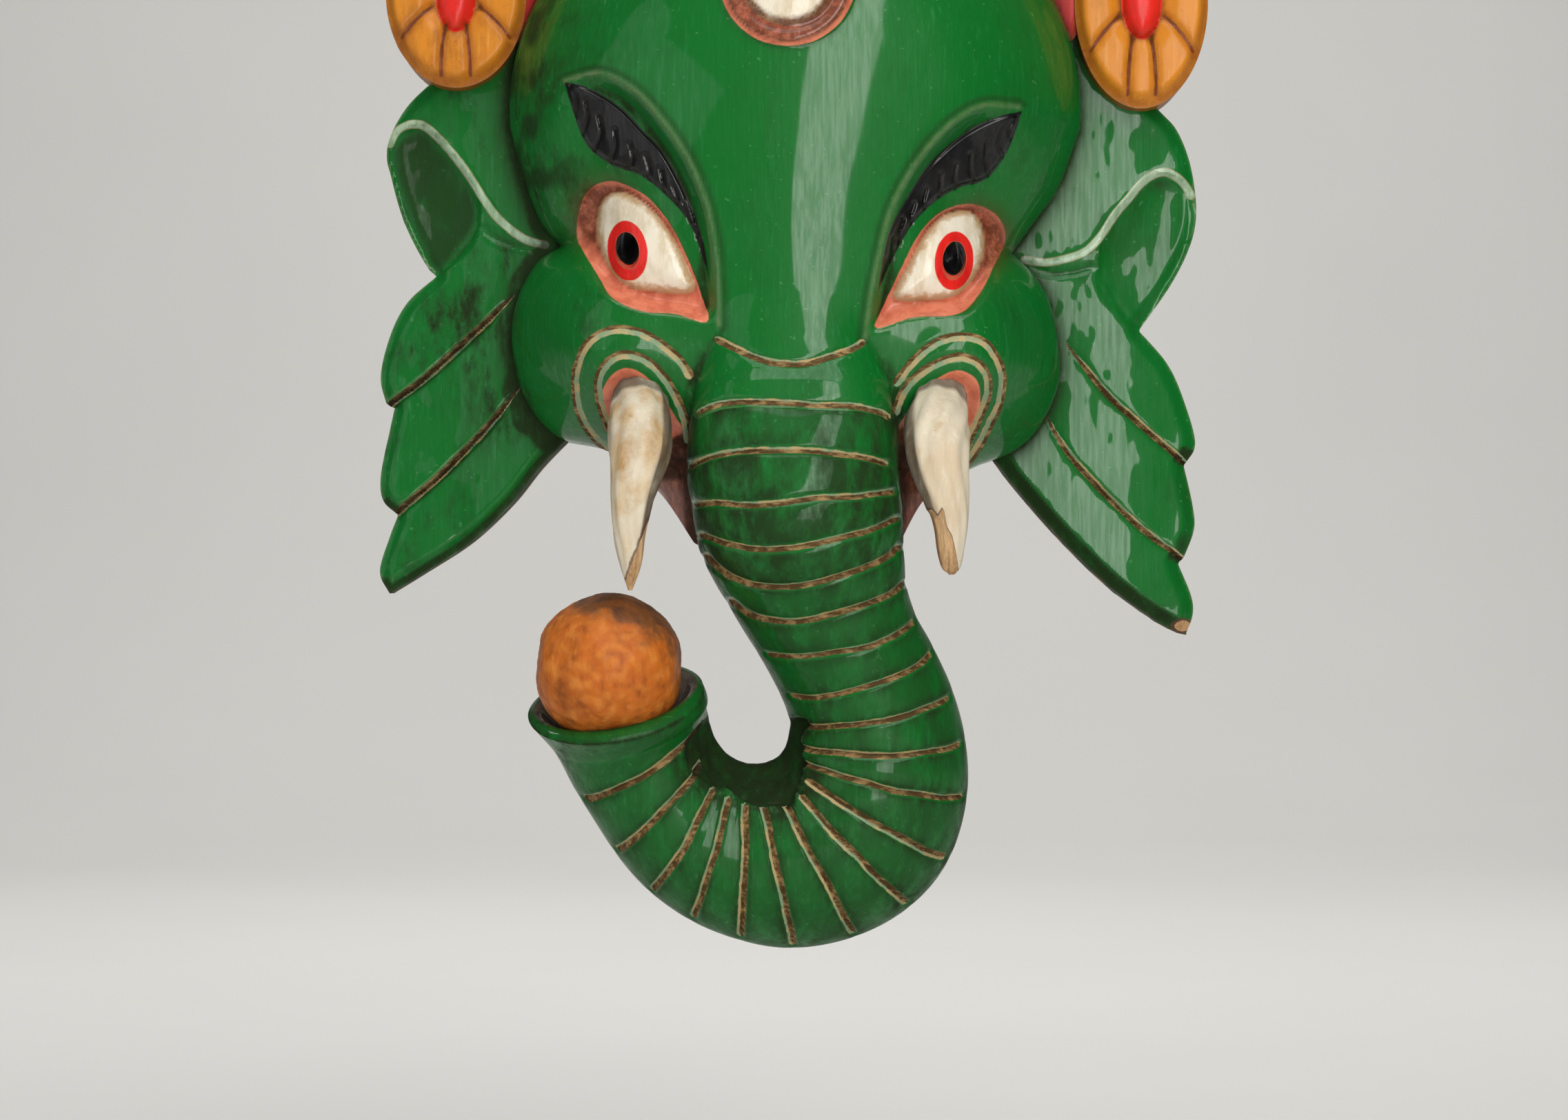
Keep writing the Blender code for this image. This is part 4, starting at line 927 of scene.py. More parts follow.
below_ridge = ridge_gap * ridge_side * np.where(which_ridge == 0, 1, -1)
# Painted shade just below each brow ridge.
shade_under_ridge = 0.6 * np.exp(-((below_ridge - 2.4) / 1.2) ** 2)
# Dirt blotches at the viewer's left temple, deepened as painted shade on that side, away from the key light.
left_temple_dirt_and_shade = (0.85 * ease((-72 - x) / 30) * ease((z + 165) / 30)
                * ease(2.2 * lumps(x, 0 * x, z / 2, 7.0, 33.0) + 0.1))

# %% Paint the face
ARC_CUT_HALF, NOSE_CUT_HALF, SEAM_CUT_HALF = 1.75, 1.45, 1.3
in_cuts = np.maximum.reduce([ARC_CUT_HALF - arc_gap, NOSE_CUT_HALF - nose_gap, SEAM_CUT_HALF - seam_gap])
face_fields = {
    "salmon": on_front(share, np.maximum(lids, TIKA_RADIUS - from_tika)),
    "white": on_front(share, np.maximum(most(x, z, EYEBALLS), TIKA_INNER_RADIUS - from_tika)),
    "red": on_front(share, in_iris),
    "black": np.where(in_pupil, 6.0, on_front(share, most(x, z, BROWS))),
    "hair": on_front(share, np.minimum(0.75 - gap_to(x, z, HAIRS[0] + HAIRS[1]), most(x, z, BROWS))),
    "cut": on_front(share, in_cuts),
    "upper": upper,
    "shade": on_front(share, np.clip(eye_shade + 1.5 * in_ring + in_mouth, 0, 1), 0),
    "worn": on_front(share, 0.7 * np.exp(-(ridge_gap / 1.0) ** 2), 0),
    "crease": on_front(share, np.maximum.reduce([shade_under_ridge, trunk_shadow, mouth_shadow, left_temple_dirt_and_shade]), 0),
    "back": np.where(in_pupil, 0, share),
}
face = finish_piece("mask_face", bm, green_paint, face_fields)
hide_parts("mask")

# %% [markdown]
# ## The ears
# Each ear is a folded lobe over three long feathers of skin, all in the plane of the back board. Deep
# V-cuts part the feathers, and the edge of each upper feather overhangs the next.

# %% Outlines and cuts of the ears
EAR_DEPTH = 24.0
EAR_OUTLINES = (
    joined(curve([(-90, -56), (-121, -62), (-133, -84), (-148, -95), (-158, -106), (-164, -120), (-162, -133),
                  (-157, -150), (-149, -166), (-144, -172)]),
           curve([(-144, -172), (-156, -183), (-163, -197), (-166.5, -213), (-164, -224)]),
           curve([(-161, -225.5), (-163, -235), (-166.5, -253), (-165.5, -263), (-160, -268.5)]),
           curve([(-160, -270), (-163, -278), (-167, -292), (-163, -301)]),
           curve([(-163, -301), (-150, -293), (-130, -280), (-113, -264), (-100, -248), (-80, -228)]),
           [(-80, -165), (-82, -120)]),
    joined(curve([(90, -56), (123, -62), (134, -88), (150, -104), (158, -113), (163.5, -128), (165.5, -147),
                  (162, -162), (154, -177), (142, -194)]),
           curve([(142, -194), (154, -208), (161, -224), (165, -240), (161, -248)]),
           curve([(160.5, -249), (164, -265), (164.5, -275), (160, -287)]),
           curve([(158, -288.5), (163.5, -302), (164, -310), (161, -318)]),
           curve([(161, -318), (150, -312.5), (130, -298), (110, -278.5), (92, -258), (80, -242)]),
           [(80, -170), (82, -125)]))
FEATHER_CUTS = (
    (curve([(-163, -224.5), (-148, -213.5), (-132, -199), (-119.5, -187.5), (-112, -180)]),
     curve([(-160, -268.5), (-143, -254), (-128, -239), (-117, -227), (-109.5, -217)])),
    (curve([(161, -248), (145, -234.5), (130, -221), (118, -207), (111.5, -199)]),
     curve([(160, -287), (140, -272), (120, -252), (110, -239.5), (103, -227)])))
LOBE_HOLLOWS = (
    curve([(-163, -118), (-150, -110.5), (-140, -119), (-130, -132), (-125, -146), (-130, -159), (-144, -172),
           (-153, -158), (-162, -133)], 2.0, True),
    curve([(163.5, -139), (157, -131.5), (147, -131), (137, -141), (128, -153), (126, -172), (142, -194),
           (154, -177), (163, -160)], 2.0, True))
CURL_STRIPES = (
    curve([(-163, -118), (-160, -113), (-155, -110.5), (-150, -110.5), (-146, -113), (-140, -119),
           (-135, -125), (-130, -132), (-125, -140), (-120, -147), (-115, -152), (-110, -156),
           (-105, -158.5), (-99, -160)]),
    curve([(163.5, -139), (161, -135), (157, -131.5), (152, -129.5), (147, -131), (142, -135), (137, -141),
           (132, -147), (128, -153), (124, -158.5), (119, -162.5), (112, -165), (104, -166.5), (95, -165.5)]))
FEATHER_TOPS = (curve([(-103, -161.5), (-110, -160), (-118, -157), (-126, -153), (-130, -159), (-138, -167),
                       (-144, -172)]),
                curve([(97, -168), (105, -171), (115, -170.5), (124, -169), (127, -177), (132, -184),
                       (138, -191), (142, -194)]))
EAR_OUTLINES, LOBE_HOLLOWS, CURL_STRIPES, FEATHER_TOPS = (
    [true_place(path, EAR_DEPTH) for path in pair]
    for pair in (EAR_OUTLINES, LOBE_HOLLOWS, CURL_STRIPES, FEATHER_TOPS))
FEATHER_CUTS = [[true_place(path, EAR_DEPTH) for path in pair] for pair in FEATHER_CUTS]
# For the ear on the viewer's left, then the one on the right
EAR_ROOT_RISE, EAR_TIP_FALL, EDGE_LIFT = (8.0, 0.0), (0.0, 2.5), (1.0, 0.55)


def ear_depth(k):
    """Depth of one ear: 0 is the ear on the viewer's left, 1 the one on the right."""
    outward = 1 if k == 0 else -1

    def depth_at(x, z):
        depth = EAR_DEPTH + EAR_ROOT_RISE[k] * ease((140 - np.abs(x)) / 45)
        depth = depth - EAR_TIP_FALL[k] * ease((np.abs(x) - 138) / 26)
        for cut in FEATHER_CUTS[k]:
            gap, side = distance(x, z, cut)
            above = side * outward > 0
            begun = EDGE_LIFT[k] * ease((np.abs(x) - abs(cut[-1][0])) / 14)
            depth = depth + begun * np.where(above, 3.2 * np.exp(-gap / 14), -1.4 * np.exp(-gap / 7))
            depth = depth - (0.3 + 1.3 * begun) * np.exp(-(gap / 1.4) ** 2)
        depth = depth - 5 * quarter_round(inside(x, z, LOBE_HOLLOWS[k]) / 15)
        depth = depth - stroke(x, z, FEATHER_TOPS[k], 1.5, 2.0)
        depth = depth + stroke(x, z, CURL_STRIPES[k], 0.5, 1.8)
        depth = depth - 3.5 * (1 - ease(inside(x, z, EAR_OUTLINES[k]) / 6))
        return depth + 0.4 * lumps(x, 0 * x, z, 13.0, 9.0 + k) + 0.1 * lumps(x, 0 * x, z / 2, 3.5, 19.0 + k)

    return depth_at


# %% Boards with a flat back


def flat_back(step):
    """A flat back a little in front of the wall."""
    return lambda x, z: step + 0 * x


def plain_board(outline, step, front_at, back, wall_rows):
    """A closed board inside an outline: its mesh, then x, depth, z and share of back of its points."""
    bm = cut_board(lambda x, z: inside(x, z, outline), outline, step)
    return bm, *thicken(bm, front_at, flat_back(back), wall_rows)


# %% Cut, carve and paint the ears
EAR_STEP, EAR_WALL_ROWS = 1.1, 8
# How far each kind of piece keeps its flat back off the wall, so that no two backs coincide
EAR_BACK, ROSETTE_BACK, RIBBON_BACK, BAND_BACK, LEAF_BACKS = 0.3, 0.8, 1.3, 1.8, (2.3, 2.8)
BEVEL_WIDTHS = (2.5, 5.0)
CHIP = true_place((160.0, -314.0), EAR_DEPTH)
HIDDEN_OVERLAP = 7.0

for k, side_name in enumerate(("left", "right")):

    def ear_reach(x, z):
        return np.minimum(inside(x, z, EAR_OUTLINES[k]), HIDDEN_OVERLAP - inside(x, z, HEAD_OUTLINE))

    bm = cut_board(ear_reach, EAR_OUTLINES[k], EAR_STEP)
    x, depth, z, share = thicken(bm, ear_depth(k), flat_back(EAR_BACK), EAR_WALL_ROWS)
    reach = inside(x, z, EAR_OUTLINES[k])
    faces_down = ease((inside(x, z + 0.5, EAR_OUTLINES[k]) - inside(x, z - 0.5, EAR_OUTLINES[k]) - 0.2) / 0.3)
    # Painted shade on the lower bevels, which face down.
    under = faces_down * (1 - ease((reach - BEVEL_WIDTHS[k]) / 1.2)) * (z < -200)
    # Painted shade in the lobe hollow, much deeper on the left ear, which is away from the key light.
    lobe = (0.8 if k == 0 else 0.12) * ease(inside(x, z, LOBE_HOLLOWS[k]) / 5)
    # Painted shade at the joint with the head; on the left ear a painted shadow of the head, widening
    # downwards.
    from_head = np.maximum(-inside(x, z, HEAD_OUTLINE), 0)
    joint = (1.6, 1.2)[k] * np.exp(-from_head / (5.0, 4.0)[k])
    if k == 0:
        head_shadow_reach = (5.5 * ease((-105 - z) / 50) + 3.5 * ease((-205 - z) / 25)
                 + 2.5 * lumps(x, 0 * x, z, 9.0, 29.0))
        joint = np.maximum(joint, ease((head_shadow_reach + 1.2 - from_head) / 2.4))
    cut_gap, cut_side, which_cut = nearest_line(x, z, FEATHER_CUTS[k])
    starts = np.array([abs(path[-1][0]) for path in FEATHER_CUTS[k]])[which_cut]
    cut_width = 0.5 + 0.85 * ease((np.abs(x) - starts + 1) / 12)
    # On the left ear the cuts are darkened with painted shade too.
    if k == 0:
        lobe = np.maximum(lobe, 0.9 * np.exp(-(cut_gap / 1.0) ** 2))
    fields = {
        "pale": on_front(share, 1.75 - distance(x, z, CURL_STRIPES[k])[0]),
        "cut": on_front(share, cut_width - cut_gap),
        "upper": -cut_gap * cut_side,
        # The crease field carries this painted shade and also darkens the walls and back.
        "crease": np.clip(np.maximum.reduce([joint, 0.95 * under, lobe, 0.6 * (share > 0.1)]), 0, 1),
        "back": share,
    }
    if k == 1:
        fields["bare"] = 2.2 - np.hypot((x - CHIP[0]) * 0.6, z - CHIP[1])
    ear = finish_piece("mask_ear_" + side_name, bm, green_paint, fields)
    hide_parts("mask")

# %% [markdown]
# ## Rosettes, ribbons and crown
# A flower with eight petals sits beside each temple, and a crown of five leaves stands on a band round the
# dome. The photograph cuts them off above, so the crown is kept plain: the same orange as the flowers, with
# a red centre in each leaf.

# %% Rosettes
ROSETTE_DEPTH = 40.0
# For each rosette its centre, then its half width and half height
ROSETTES = (((-136.0, -57.0), (29.0, 38.5)), ((143.0, -60.0), (27.5, 44.0)))
PETALS, PETAL_CUT = 8, 1.6
BOSS_HALVES = (7.5, 15.0)
ORANGE = (srgb(238, 168, 66), srgb(214, 134, 34), srgb(160, 88, 28))
orange_paint = painted_finish(
    "orange_paint", ORANGE,
    [("red", *RED, 0.6, 0.4, None), ("black", srgb(120, 62, 34), srgb(92, 44, 26), 0.8, 0.5, None)],
    everywhere(0.5), 0.35, 0.45, 0.25, srgb(96, 50, 22), shade_colour=srgb(136, 66, 26),
    specks=srgb(170, 90, 40))


def rosette(k):
    centre, (half_width, half_height) = ROSETTES[k]
    centre = true_place(centre, ROSETTE_DEPTH)
    outline = oval(centre, half_width, half_height, 90)
    boss = oval(centre, *BOSS_HALVES, 40)
    cuts = []
    for j in range(PETALS):
        angle = 2 * math.pi * (j + 0.5) / PETALS
        bend = 0.16 * (1 if math.cos(angle) * math.sin(angle) > 0 else -1)
        spots = []
        for share in (0.36, 0.5, 0.64, 0.78, 0.9):
            turned = angle + bend * (share - 0.36) / 0.54
            tip = np.array([half_width * math.cos(turned), half_height * math.sin(turned)])
            spots.append(centre + tip * share)
        cuts.append(curve(spots))

    def depth_at(x, z):
        across = np.hypot((x - centre[0]) / half_width, (z - centre[1]) / half_height)
        depth = ROSETTE_DEPTH - 4.5 * (1 - ease((1 - across) / 0.16)) - 3 * ease((0.55 - across) / 0.3)
        depth = depth + 5 * quarter_round(inside(x, z, boss) / 6)
        for cut in cuts:
            depth = depth - stroke(x, z, cut, PETAL_CUT, 1.5)
        return depth + 0.25 * lumps(x, 0 * x, z, 11.0, 20.0 + k)

    return outline, boss, cuts, depth_at


ROSETTE_STEP, ROSETTE_WALL_ROWS = 0.9, 10
for k, side_name in enumerate(("left", "right")):
    outline, boss, cuts, depth_at = rosette(k)
    bm, x, depth, z, share = plain_board(outline, ROSETTE_STEP, depth_at, ROSETTE_BACK, ROSETTE_WALL_ROWS)
    fields = {
        "red": on_front(share, inside(x, z, boss) + 1.0),
        "black": on_front(share, 0.7 - gap_to(x, z, cuts)),
        # Painted shade beside the head, next to the petal cuts and round the rim; the walls are darker too.
        "crease": 0.8 * beside_head(x, z, 3) + 0.35 * (share > 0.05),
        "shade": on_front(share, 0.65 * np.exp(-gap_to(x, z, cuts) / 2.5)
                          + 0.6 * (1 - ease((inside(x, z, outline) - 1) / 4)), 0.5),
        "back": share,
    }
    flower = finish_piece("mask_rosette_" + side_name, bm, orange_paint, fields)
    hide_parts("mask")

# %% Ribbons, band and leaves
RIBBON_DEPTH = 34.0
RIBBONS = (curve([(-86, -30), (-128, -34), (-122, -60), (-113, -77), (-96, -64)], 2.0, True),
           curve([(86, -30), (128, -34), (121, -60), (113, -77), (98, -64)], 2.0, True))
BAND_HEIGHT, BAND_LIFT, NOTCH_SPACING = 15.0, 6.0, 12.0
RIBBON_STEP, RIBBON_WALL_ROWS = 1.4, 8
CROWN_STEP, BAND_WALL_ROWS, LEAF_WALL_ROWS = 1.2, 14, 12
LEAF_RIM_INSET = 5.5
# For each leaf its foot, half width, length, lean in degrees and depth
LEAVES = (((0.0, -14.0), 32.0, 74.0, 0.0, 62.0),
          ((-60.0, -20.0), 29.0, 62.0, 20.0, 55.0), ((60.0, -20.0), 29.0, 62.0, -20.0, 55.0),
          ((-106.0, -38.0), 25.0, 52.0, 34.0, 47.0), ((108.0, -40.0), 25.0, 52.0, -34.0, 47.0))
red_paint = painted_finish(
    "red_paint", (srgb(232, 70, 56), srgb(206, 38, 34), srgb(140, 24, 26)),
    [("pale", *WHITE, 0.6, 0.45, None)], everywhere(0.6), 0.3, 0.45, 0.25, srgb(50, 20, 16),
    specks=srgb(130, 26, 26))


BAND_REACH = 112


def band_lower(x):
    """Height of the band's lower edge, which follows the dome."""
    return -21 - 26 * (np.abs(x) / BAND_REACH) ** 2


def from_notch(x):
    """Distance sideways to the nearest of the notches along the band."""
    return np.abs((x + 300) % NOTCH_SPACING - NOTCH_SPACING / 2)


band_x = np.linspace(-BAND_REACH, BAND_REACH, 60)
band_outline = joined(np.column_stack([band_x, band_lower(band_x)]),
                      np.column_stack([band_x[::-1], band_lower(band_x[::-1]) + BAND_HEIGHT]))


def band_depth(x, z):
    under = np.minimum(z, -12)
    reach = np.maximum(inside(x, under, HEAD_OUTLINE), 3.0)
    dome = HEAD_EDGE_DEPTH + (broad_form(x, under) - HEAD_EDGE_DEPTH) * quarter_round(reach / edge_radius(z))
    notches = np.exp(-(from_notch(x) / 1.4) ** 2)
    return dome + BAND_LIFT + 2.5 * quarter_round(inside(x, z, band_outline) / 4) - 1.1 * notches


def leaf(foot, half_width, length, lean_degrees, depth):
    """One pointed leaf of the crown, standing on the band and leaning outwards."""
    half = [(1.0, 0.0), (1.06, 0.28), (0.86, 0.56), (0.42, 0.82), (0.0, 1.0)]
    shape = [(w * half_width, h * length) for w, h in half]
    shape = joined(curve(shape, 3), curve([(-w, h) for w, h in shape[::-1]], 3))
    angle = math.radians(lean_degrees)
    c, s = math.cos(angle), math.sin(angle)
    outline = np.column_stack([foot[0] + c * shape[:, 0] - s * shape[:, 1],
                               foot[1] + s * shape[:, 0] + c * shape[:, 1]])
    middle = np.array([foot[0] - s * length * 0.42, foot[1] + c * length * 0.42])
    rib = curve([middle + np.array([-s, c]) * length * t for t in (-0.22, 0.0, 0.22, 0.42)])

    def depth_at(x, z):
        to_edge = inside(x, z, outline)
        hollowed = 3 * (1 - ease(to_edge / 4)) + 2.5 * ease((to_edge - 5) / 4)
        midrib = stroke(x, z, rib, 4, 5)
        rim_cut = 0.8 * np.exp(-((to_edge - LEAF_RIM_INSET) / 0.9) ** 2)
        return depth - 16 * np.clip((z - foot[1]) / length, 0, 1) - hollowed + midrib - rim_cut

    return outline[::-1], rib, depth_at


# %% Cut, carve and paint the ribbons, the band and the leaves
for k, side_name in enumerate(("left", "right")):
    outline = true_place(RIBBONS[k], RIBBON_DEPTH)

    def ribbon_depth(x, z):
        return RIBBON_DEPTH - 2 * (1 - ease(inside(x, z, outline) / 3))

    bm, x, depth, z, share = plain_board(outline, RIBBON_STEP, ribbon_depth, RIBBON_BACK, RIBBON_WALL_ROWS)
    # Painted shade where the ribbon meets the head.
    crease = beside_head(x, z, 3)
    ribbon = finish_piece("mask_ribbon_" + side_name, bm, red_paint, {"crease": crease, "back": share})
    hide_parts("mask")

bm, x, depth, z, share = plain_board(band_outline, CROWN_STEP, band_depth, BAND_BACK, BAND_WALL_ROWS)
from_middle = np.abs(inside(x, z, band_outline) - BAND_HEIGHT / 2)
band_fields = {
    "pale": on_front(share, 3.4 - from_middle * (1 + from_notch(x) / 9)),
    # The walls of the band are darker.
    "crease": on_front(share, 0.6 * (share > 0.02), 0),
    "back": share,
}
band = finish_piece("mask_crown_band", bm, red_paint, band_fields)
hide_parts("mask")

for k, row in enumerate(LEAVES):
    outline, rib, depth_at = leaf(*row)
    bm, x, depth, z, share = plain_board(outline, CROWN_STEP, depth_at, LEAF_BACKS[k % 2], LEAF_WALL_ROWS)
    to_edge = inside(x, z, outline)
    fields = {
        "red": on_front(share, 6.5 - distance(x, z, rib)[0]),
        "black": on_front(share, 0.7 - np.abs(to_edge - LEAF_RIM_INSET)),
        # The walls of the leaf are darker, with painted shade just above the band.
        "crease": 0.4 * (share > 0.02) + 0.9 * np.exp(-np.abs(z - band_lower(x) - BAND_HEIGHT) / 4),
        "back": share,
    }
    petal = finish_piece("mask_crown_leaf_" + str(k + 1), bm, orange_paint, fields)
    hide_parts("mask")

# %% [markdown]
# ## The trunk
# The trunk grows out of the face, swings to one side and curls up into a cup. It is a tube through a row of
# ribs, and the same ribs give the places of the V-cuts. A grid rolled into a tube carries it: one side of
# the grid runs along the trunk and the other goes round it. A curve with a bevel would also make a tube,
# but its section could not change from squarish to oval on the way.

# %% Ribs of the trunk
# Each rib: x and z of its inner edge, x and z of its outer edge, depth of its middle, half thickness
TRUNK_RIBS = np.array((
    (-30, -196, 30, -197, 58, 33), (-38, -213, 40, -214, 66, 35), (-40, -228, 43, -229.5, 73, 35),
    (-41.5, -249.5, 43.5, -248, 80, 35), (-40, -263.5, 44.3, -259, 83, 35), (-38, -277, 45.3, -271, 82, 34),
    (-35, -287, 45.8, -284, 77, 34), (-27, -302, 47, -297, 71.5, 33), (-14, -323, 50.5, -310, 66.5, 32),
    (-4.5, -340, 57.5, -322.5, 62, 32), (0, -351.5, 65.5, -340, 58.5, 32.5), (-1, -359.5, 70.8, -360, 56, 33),
    (-2.5, -363.5, 71.3, -382, 54, 34), (-4.5, -366.2, 64.5, -407, 52.5, 34), (-7, -368, 49, -427, 51.5, 33),
    (-10, -369.2, 27, -439.5, 51, 32), (-13.5, -369.8, 1.5, -444, 51, 31), (-17.5, -369.6, -20, -441, 51, 30),
    (-21.5, -368.3, -40.5, -433, 51.5, 30), (-26, -365.3, -57, -421.5, 52.5, 29.5),
    (-30.5, -358.8, -72, -404, 54.5, 29.5), (-33.8, -348.5, -86, -382, 58, 30),
    (-34.8, -343, -96, -364, 62.5, 32.5), (-35.4, -338, -106.5, -350.5, 68, 32)))
LAST_RIB = len(TRUNK_RIBS) - 1
FIRST_GROOVE, LAST_GROOVE = 8, 21
ROOT_SQUARENESS, ROUND_FROM = 3.2, 6
CUP_FRONT_DROP, CUP_WALL, BALL_ABOVE_LIP = 18.0, 0.0050 / UNIT, 15.5
BALL_RADIUS, FIT_GAP = 0.0305 / UNIT, 0.0003 / UNIT


def rib_middle(at):
    """Middle of the trunk at a place between ribs, its half width as a vector and its half thickness."""
    k = int(min(max(math.floor(at), 0), LAST_RIB - 1))
    before = TRUNK_RIBS[k - 1] if k > 0 else 2 * TRUNK_RIBS[0] - TRUNK_RIBS[1]
    after = TRUNK_RIBS[k + 2] if k + 2 <= LAST_RIB else 2 * TRUNK_RIBS[-1] - TRUNK_RIBS[-2]
    row = through(before, TRUNK_RIBS[k], TRUNK_RIBS[k + 1], after, at - k)
    inner, outer = true_place(row[:2], row[4]), true_place(row[2:4], row[4])
    middle, side = (inner + outer) / 2, (outer - inner) / 2
    return np.array([middle[0], -row[4], middle[1]]), np.array([side[0], 0, side[1]]), row[5]


def rib_frame(at):
    """Middle of the trunk, and the two half axes of its section."""
    middle, side, half_depth = rib_middle(at)
    along = rib_middle(min(at + 0.5, LAST_RIB))[0] - rib_middle(max(at - 0.5, 0))[0]
    along = along / np.linalg.norm(along)
    forward = np.array([0, -1.0, 0]) - along * -along[1]
    return middle, side, forward / np.linalg.norm(forward) * half_depth


def cup_frame():
    """Middle of the cup's lip, its two half axes and the cup's axis, which leans towards the viewer."""
    middle, side, half_depth = rib_middle(LAST_RIB)
    front = np.array([CUP_FRONT_DROP * side[2] / side[0], -half_depth, -CUP_FRONT_DROP])
    axis = np.cross(front, side)
    axis = axis / np.linalg.norm(axis)
    return middle, side, front, axis if axis[2] > 0 else -axis


CUP_MIDDLE, CUP_SIDE, CUP_FRONT, CUP_AXIS = cup_frame()
BALL_CENTRE = CUP_MIDDLE + CUP_AXIS * BALL_ABOVE_LIP
print("cup at", CUP_MIDDLE.round(1), "ball at", BALL_CENTRE.round(1))

# %% [markdown]
# ## Rolling a grid into a tube
# The grid is rolled into a plain cylinder first, so the two long edges meet and can be merged into a
# seamless tube. Every point remembers how far along and how far round it is, and these two numbers place it
# on the finished form.

# %% A tube that remembers its places


def rolled_tube(rings, sides):
    """A closed cylinder of small faces whose points keep their place along and round it."""
    bm = bmesh.new()
    along, turn = bm.verts.layers.float.new("along"), bm.verts.layers.float.new("turn")
    bmesh.ops.create_grid(bm, x_segments=rings, y_segments=sides, size=0.5)
    for vert in bm.verts:
        vert[along], vert[turn] = vert.co.x + 0.5, (vert.co.y + 0.5) % 1.0
        angle = 2 * math.pi * (vert.co.y + 0.5)
        vert.co = ((vert.co.x + 0.5) * rings, math.cos(angle), math.sin(angle))
    bmesh.ops.remove_doubles(bm, verts=bm.verts, dist=1e-4)
    bmesh.ops.holes_fill(bm, edges=[edge for edge in bm.edges if edge.is_boundary], sides=0)
    return bm, np.array([vert[along] for vert in bm.verts]), np.array([vert[turn] for vert in bm.verts])


# %% Form of the trunk
SEGMENT_BULGE = 0.35
RING_COUNT, TRUNK_SIDES = 640, 104
# Added to each gap between ribs when the rings are shared out, so that short gaps get their share too
RING_EVENNESS = 4
LIP_RINGS, SEAT_RINGS = 10, 34
NEAR_LIP_RISE, FAR_LIP_DROP = 3.0, 6.0
FRAME_RINGS = np.linspace(0, LAST_RIB, 481)
FRAMES = [rib_frame(at) for at in FRAME_RINGS]
FRAME_PARTS = [np.array([frame_row[i] for frame_row in FRAMES]) for i in range(3)]
FRAME_PARTS[1][-1], FRAME_PARTS[2][-1] = CUP_SIDE, CUP_FRONT
CUP_BLEND_FRAMES = 22
for tail in range(2, CUP_BLEND_FRAMES):
    share = 1 - tail / CUP_BLEND_FRAMES
    FRAME_PARTS[2][-tail] = FRAME_PARTS[2][-tail] * (1 - share) + CUP_FRONT * share
    FRAME_PARTS[1][-tail] = FRAME_PARTS[1][-tail] * (1 - share) + CUP_SIDE * share


def section(turn, at):
    """Place across (-1 inner edge, 1 outer edge) and forward (-1 wall, 1 viewer) on the section."""
    power = 2 / (2 + (ROOT_SQUARENESS - 2) * (1 - ease(at / ROUND_FROM)))
    across, forward = np.cos(2 * math.pi * turn), np.sin(2 * math.pi * turn)
    return np.sign(across) * np.abs(across) ** power, np.sign(forward) * np.abs(forward) ** power


def trunk_place(at, across, forward, lift=0.0):
    middle, side, front = (np.column_stack([np.interp(at, FRAME_RINGS, part[:, i]) for i in range(3)])
                           for part in FRAME_PARTS)
    grown = 1 + lift / np.linalg.norm(front, axis=1)
    return middle + (side * across[:, None] + front * forward[:, None]) * np.asarray(grown)[:, None]


ROOT_CUTS = [FIRST_CUT] + [curve(points) for points in (
    [(-41.7, -249.4), (-36.6, -246.6), (-29.5, -244.3), (-19.4, -242.9), (-5.2, -242.5), (9, -242.7),
     (21.1, -244.1), (31.2, -245.5), (39.7, -248)],
    [(-38.7, -264.6), (-29.5, -264), (-17.4, -265), (-3.2, -264), (11, -261.9), (25.2, -261.5),
     (35.3, -260.3), (41.8, -259.5)],
    [(-36.6, -277.3), (-27.5, -280.4), (-15.4, -282.8), (-3.2, -282.8), (9, -281), (21.1, -278.2),
     (33.3, -274.9), (43.4, -270.7)],
    [(-34.6, -285.9), (-27.5, -292.3), (-17.4, -297), (-5.2, -298.4), (6.9, -297.4), (19.1, -294.4),
     (31.2, -290.3), (40.4, -285.9), (44.4, -282.2)],
    [(-24.5, -304.1), (-17.4, -309.2), (-7.3, -311.8), (4.9, -312.2), (17.1, -309.4), (29.2, -306.1),
     (41.4, -301.1), (47, -296.6)])]
# Where the cut at a rib starts, as a place across the trunk from -1 to 1
CUT_STARTS = np.array(((10, -0.975), (11, -0.94), (12, -0.88), (13, -0.72), (14, -0.65), (19, -0.66),
                       (20, -0.85), (21, -0.97)))


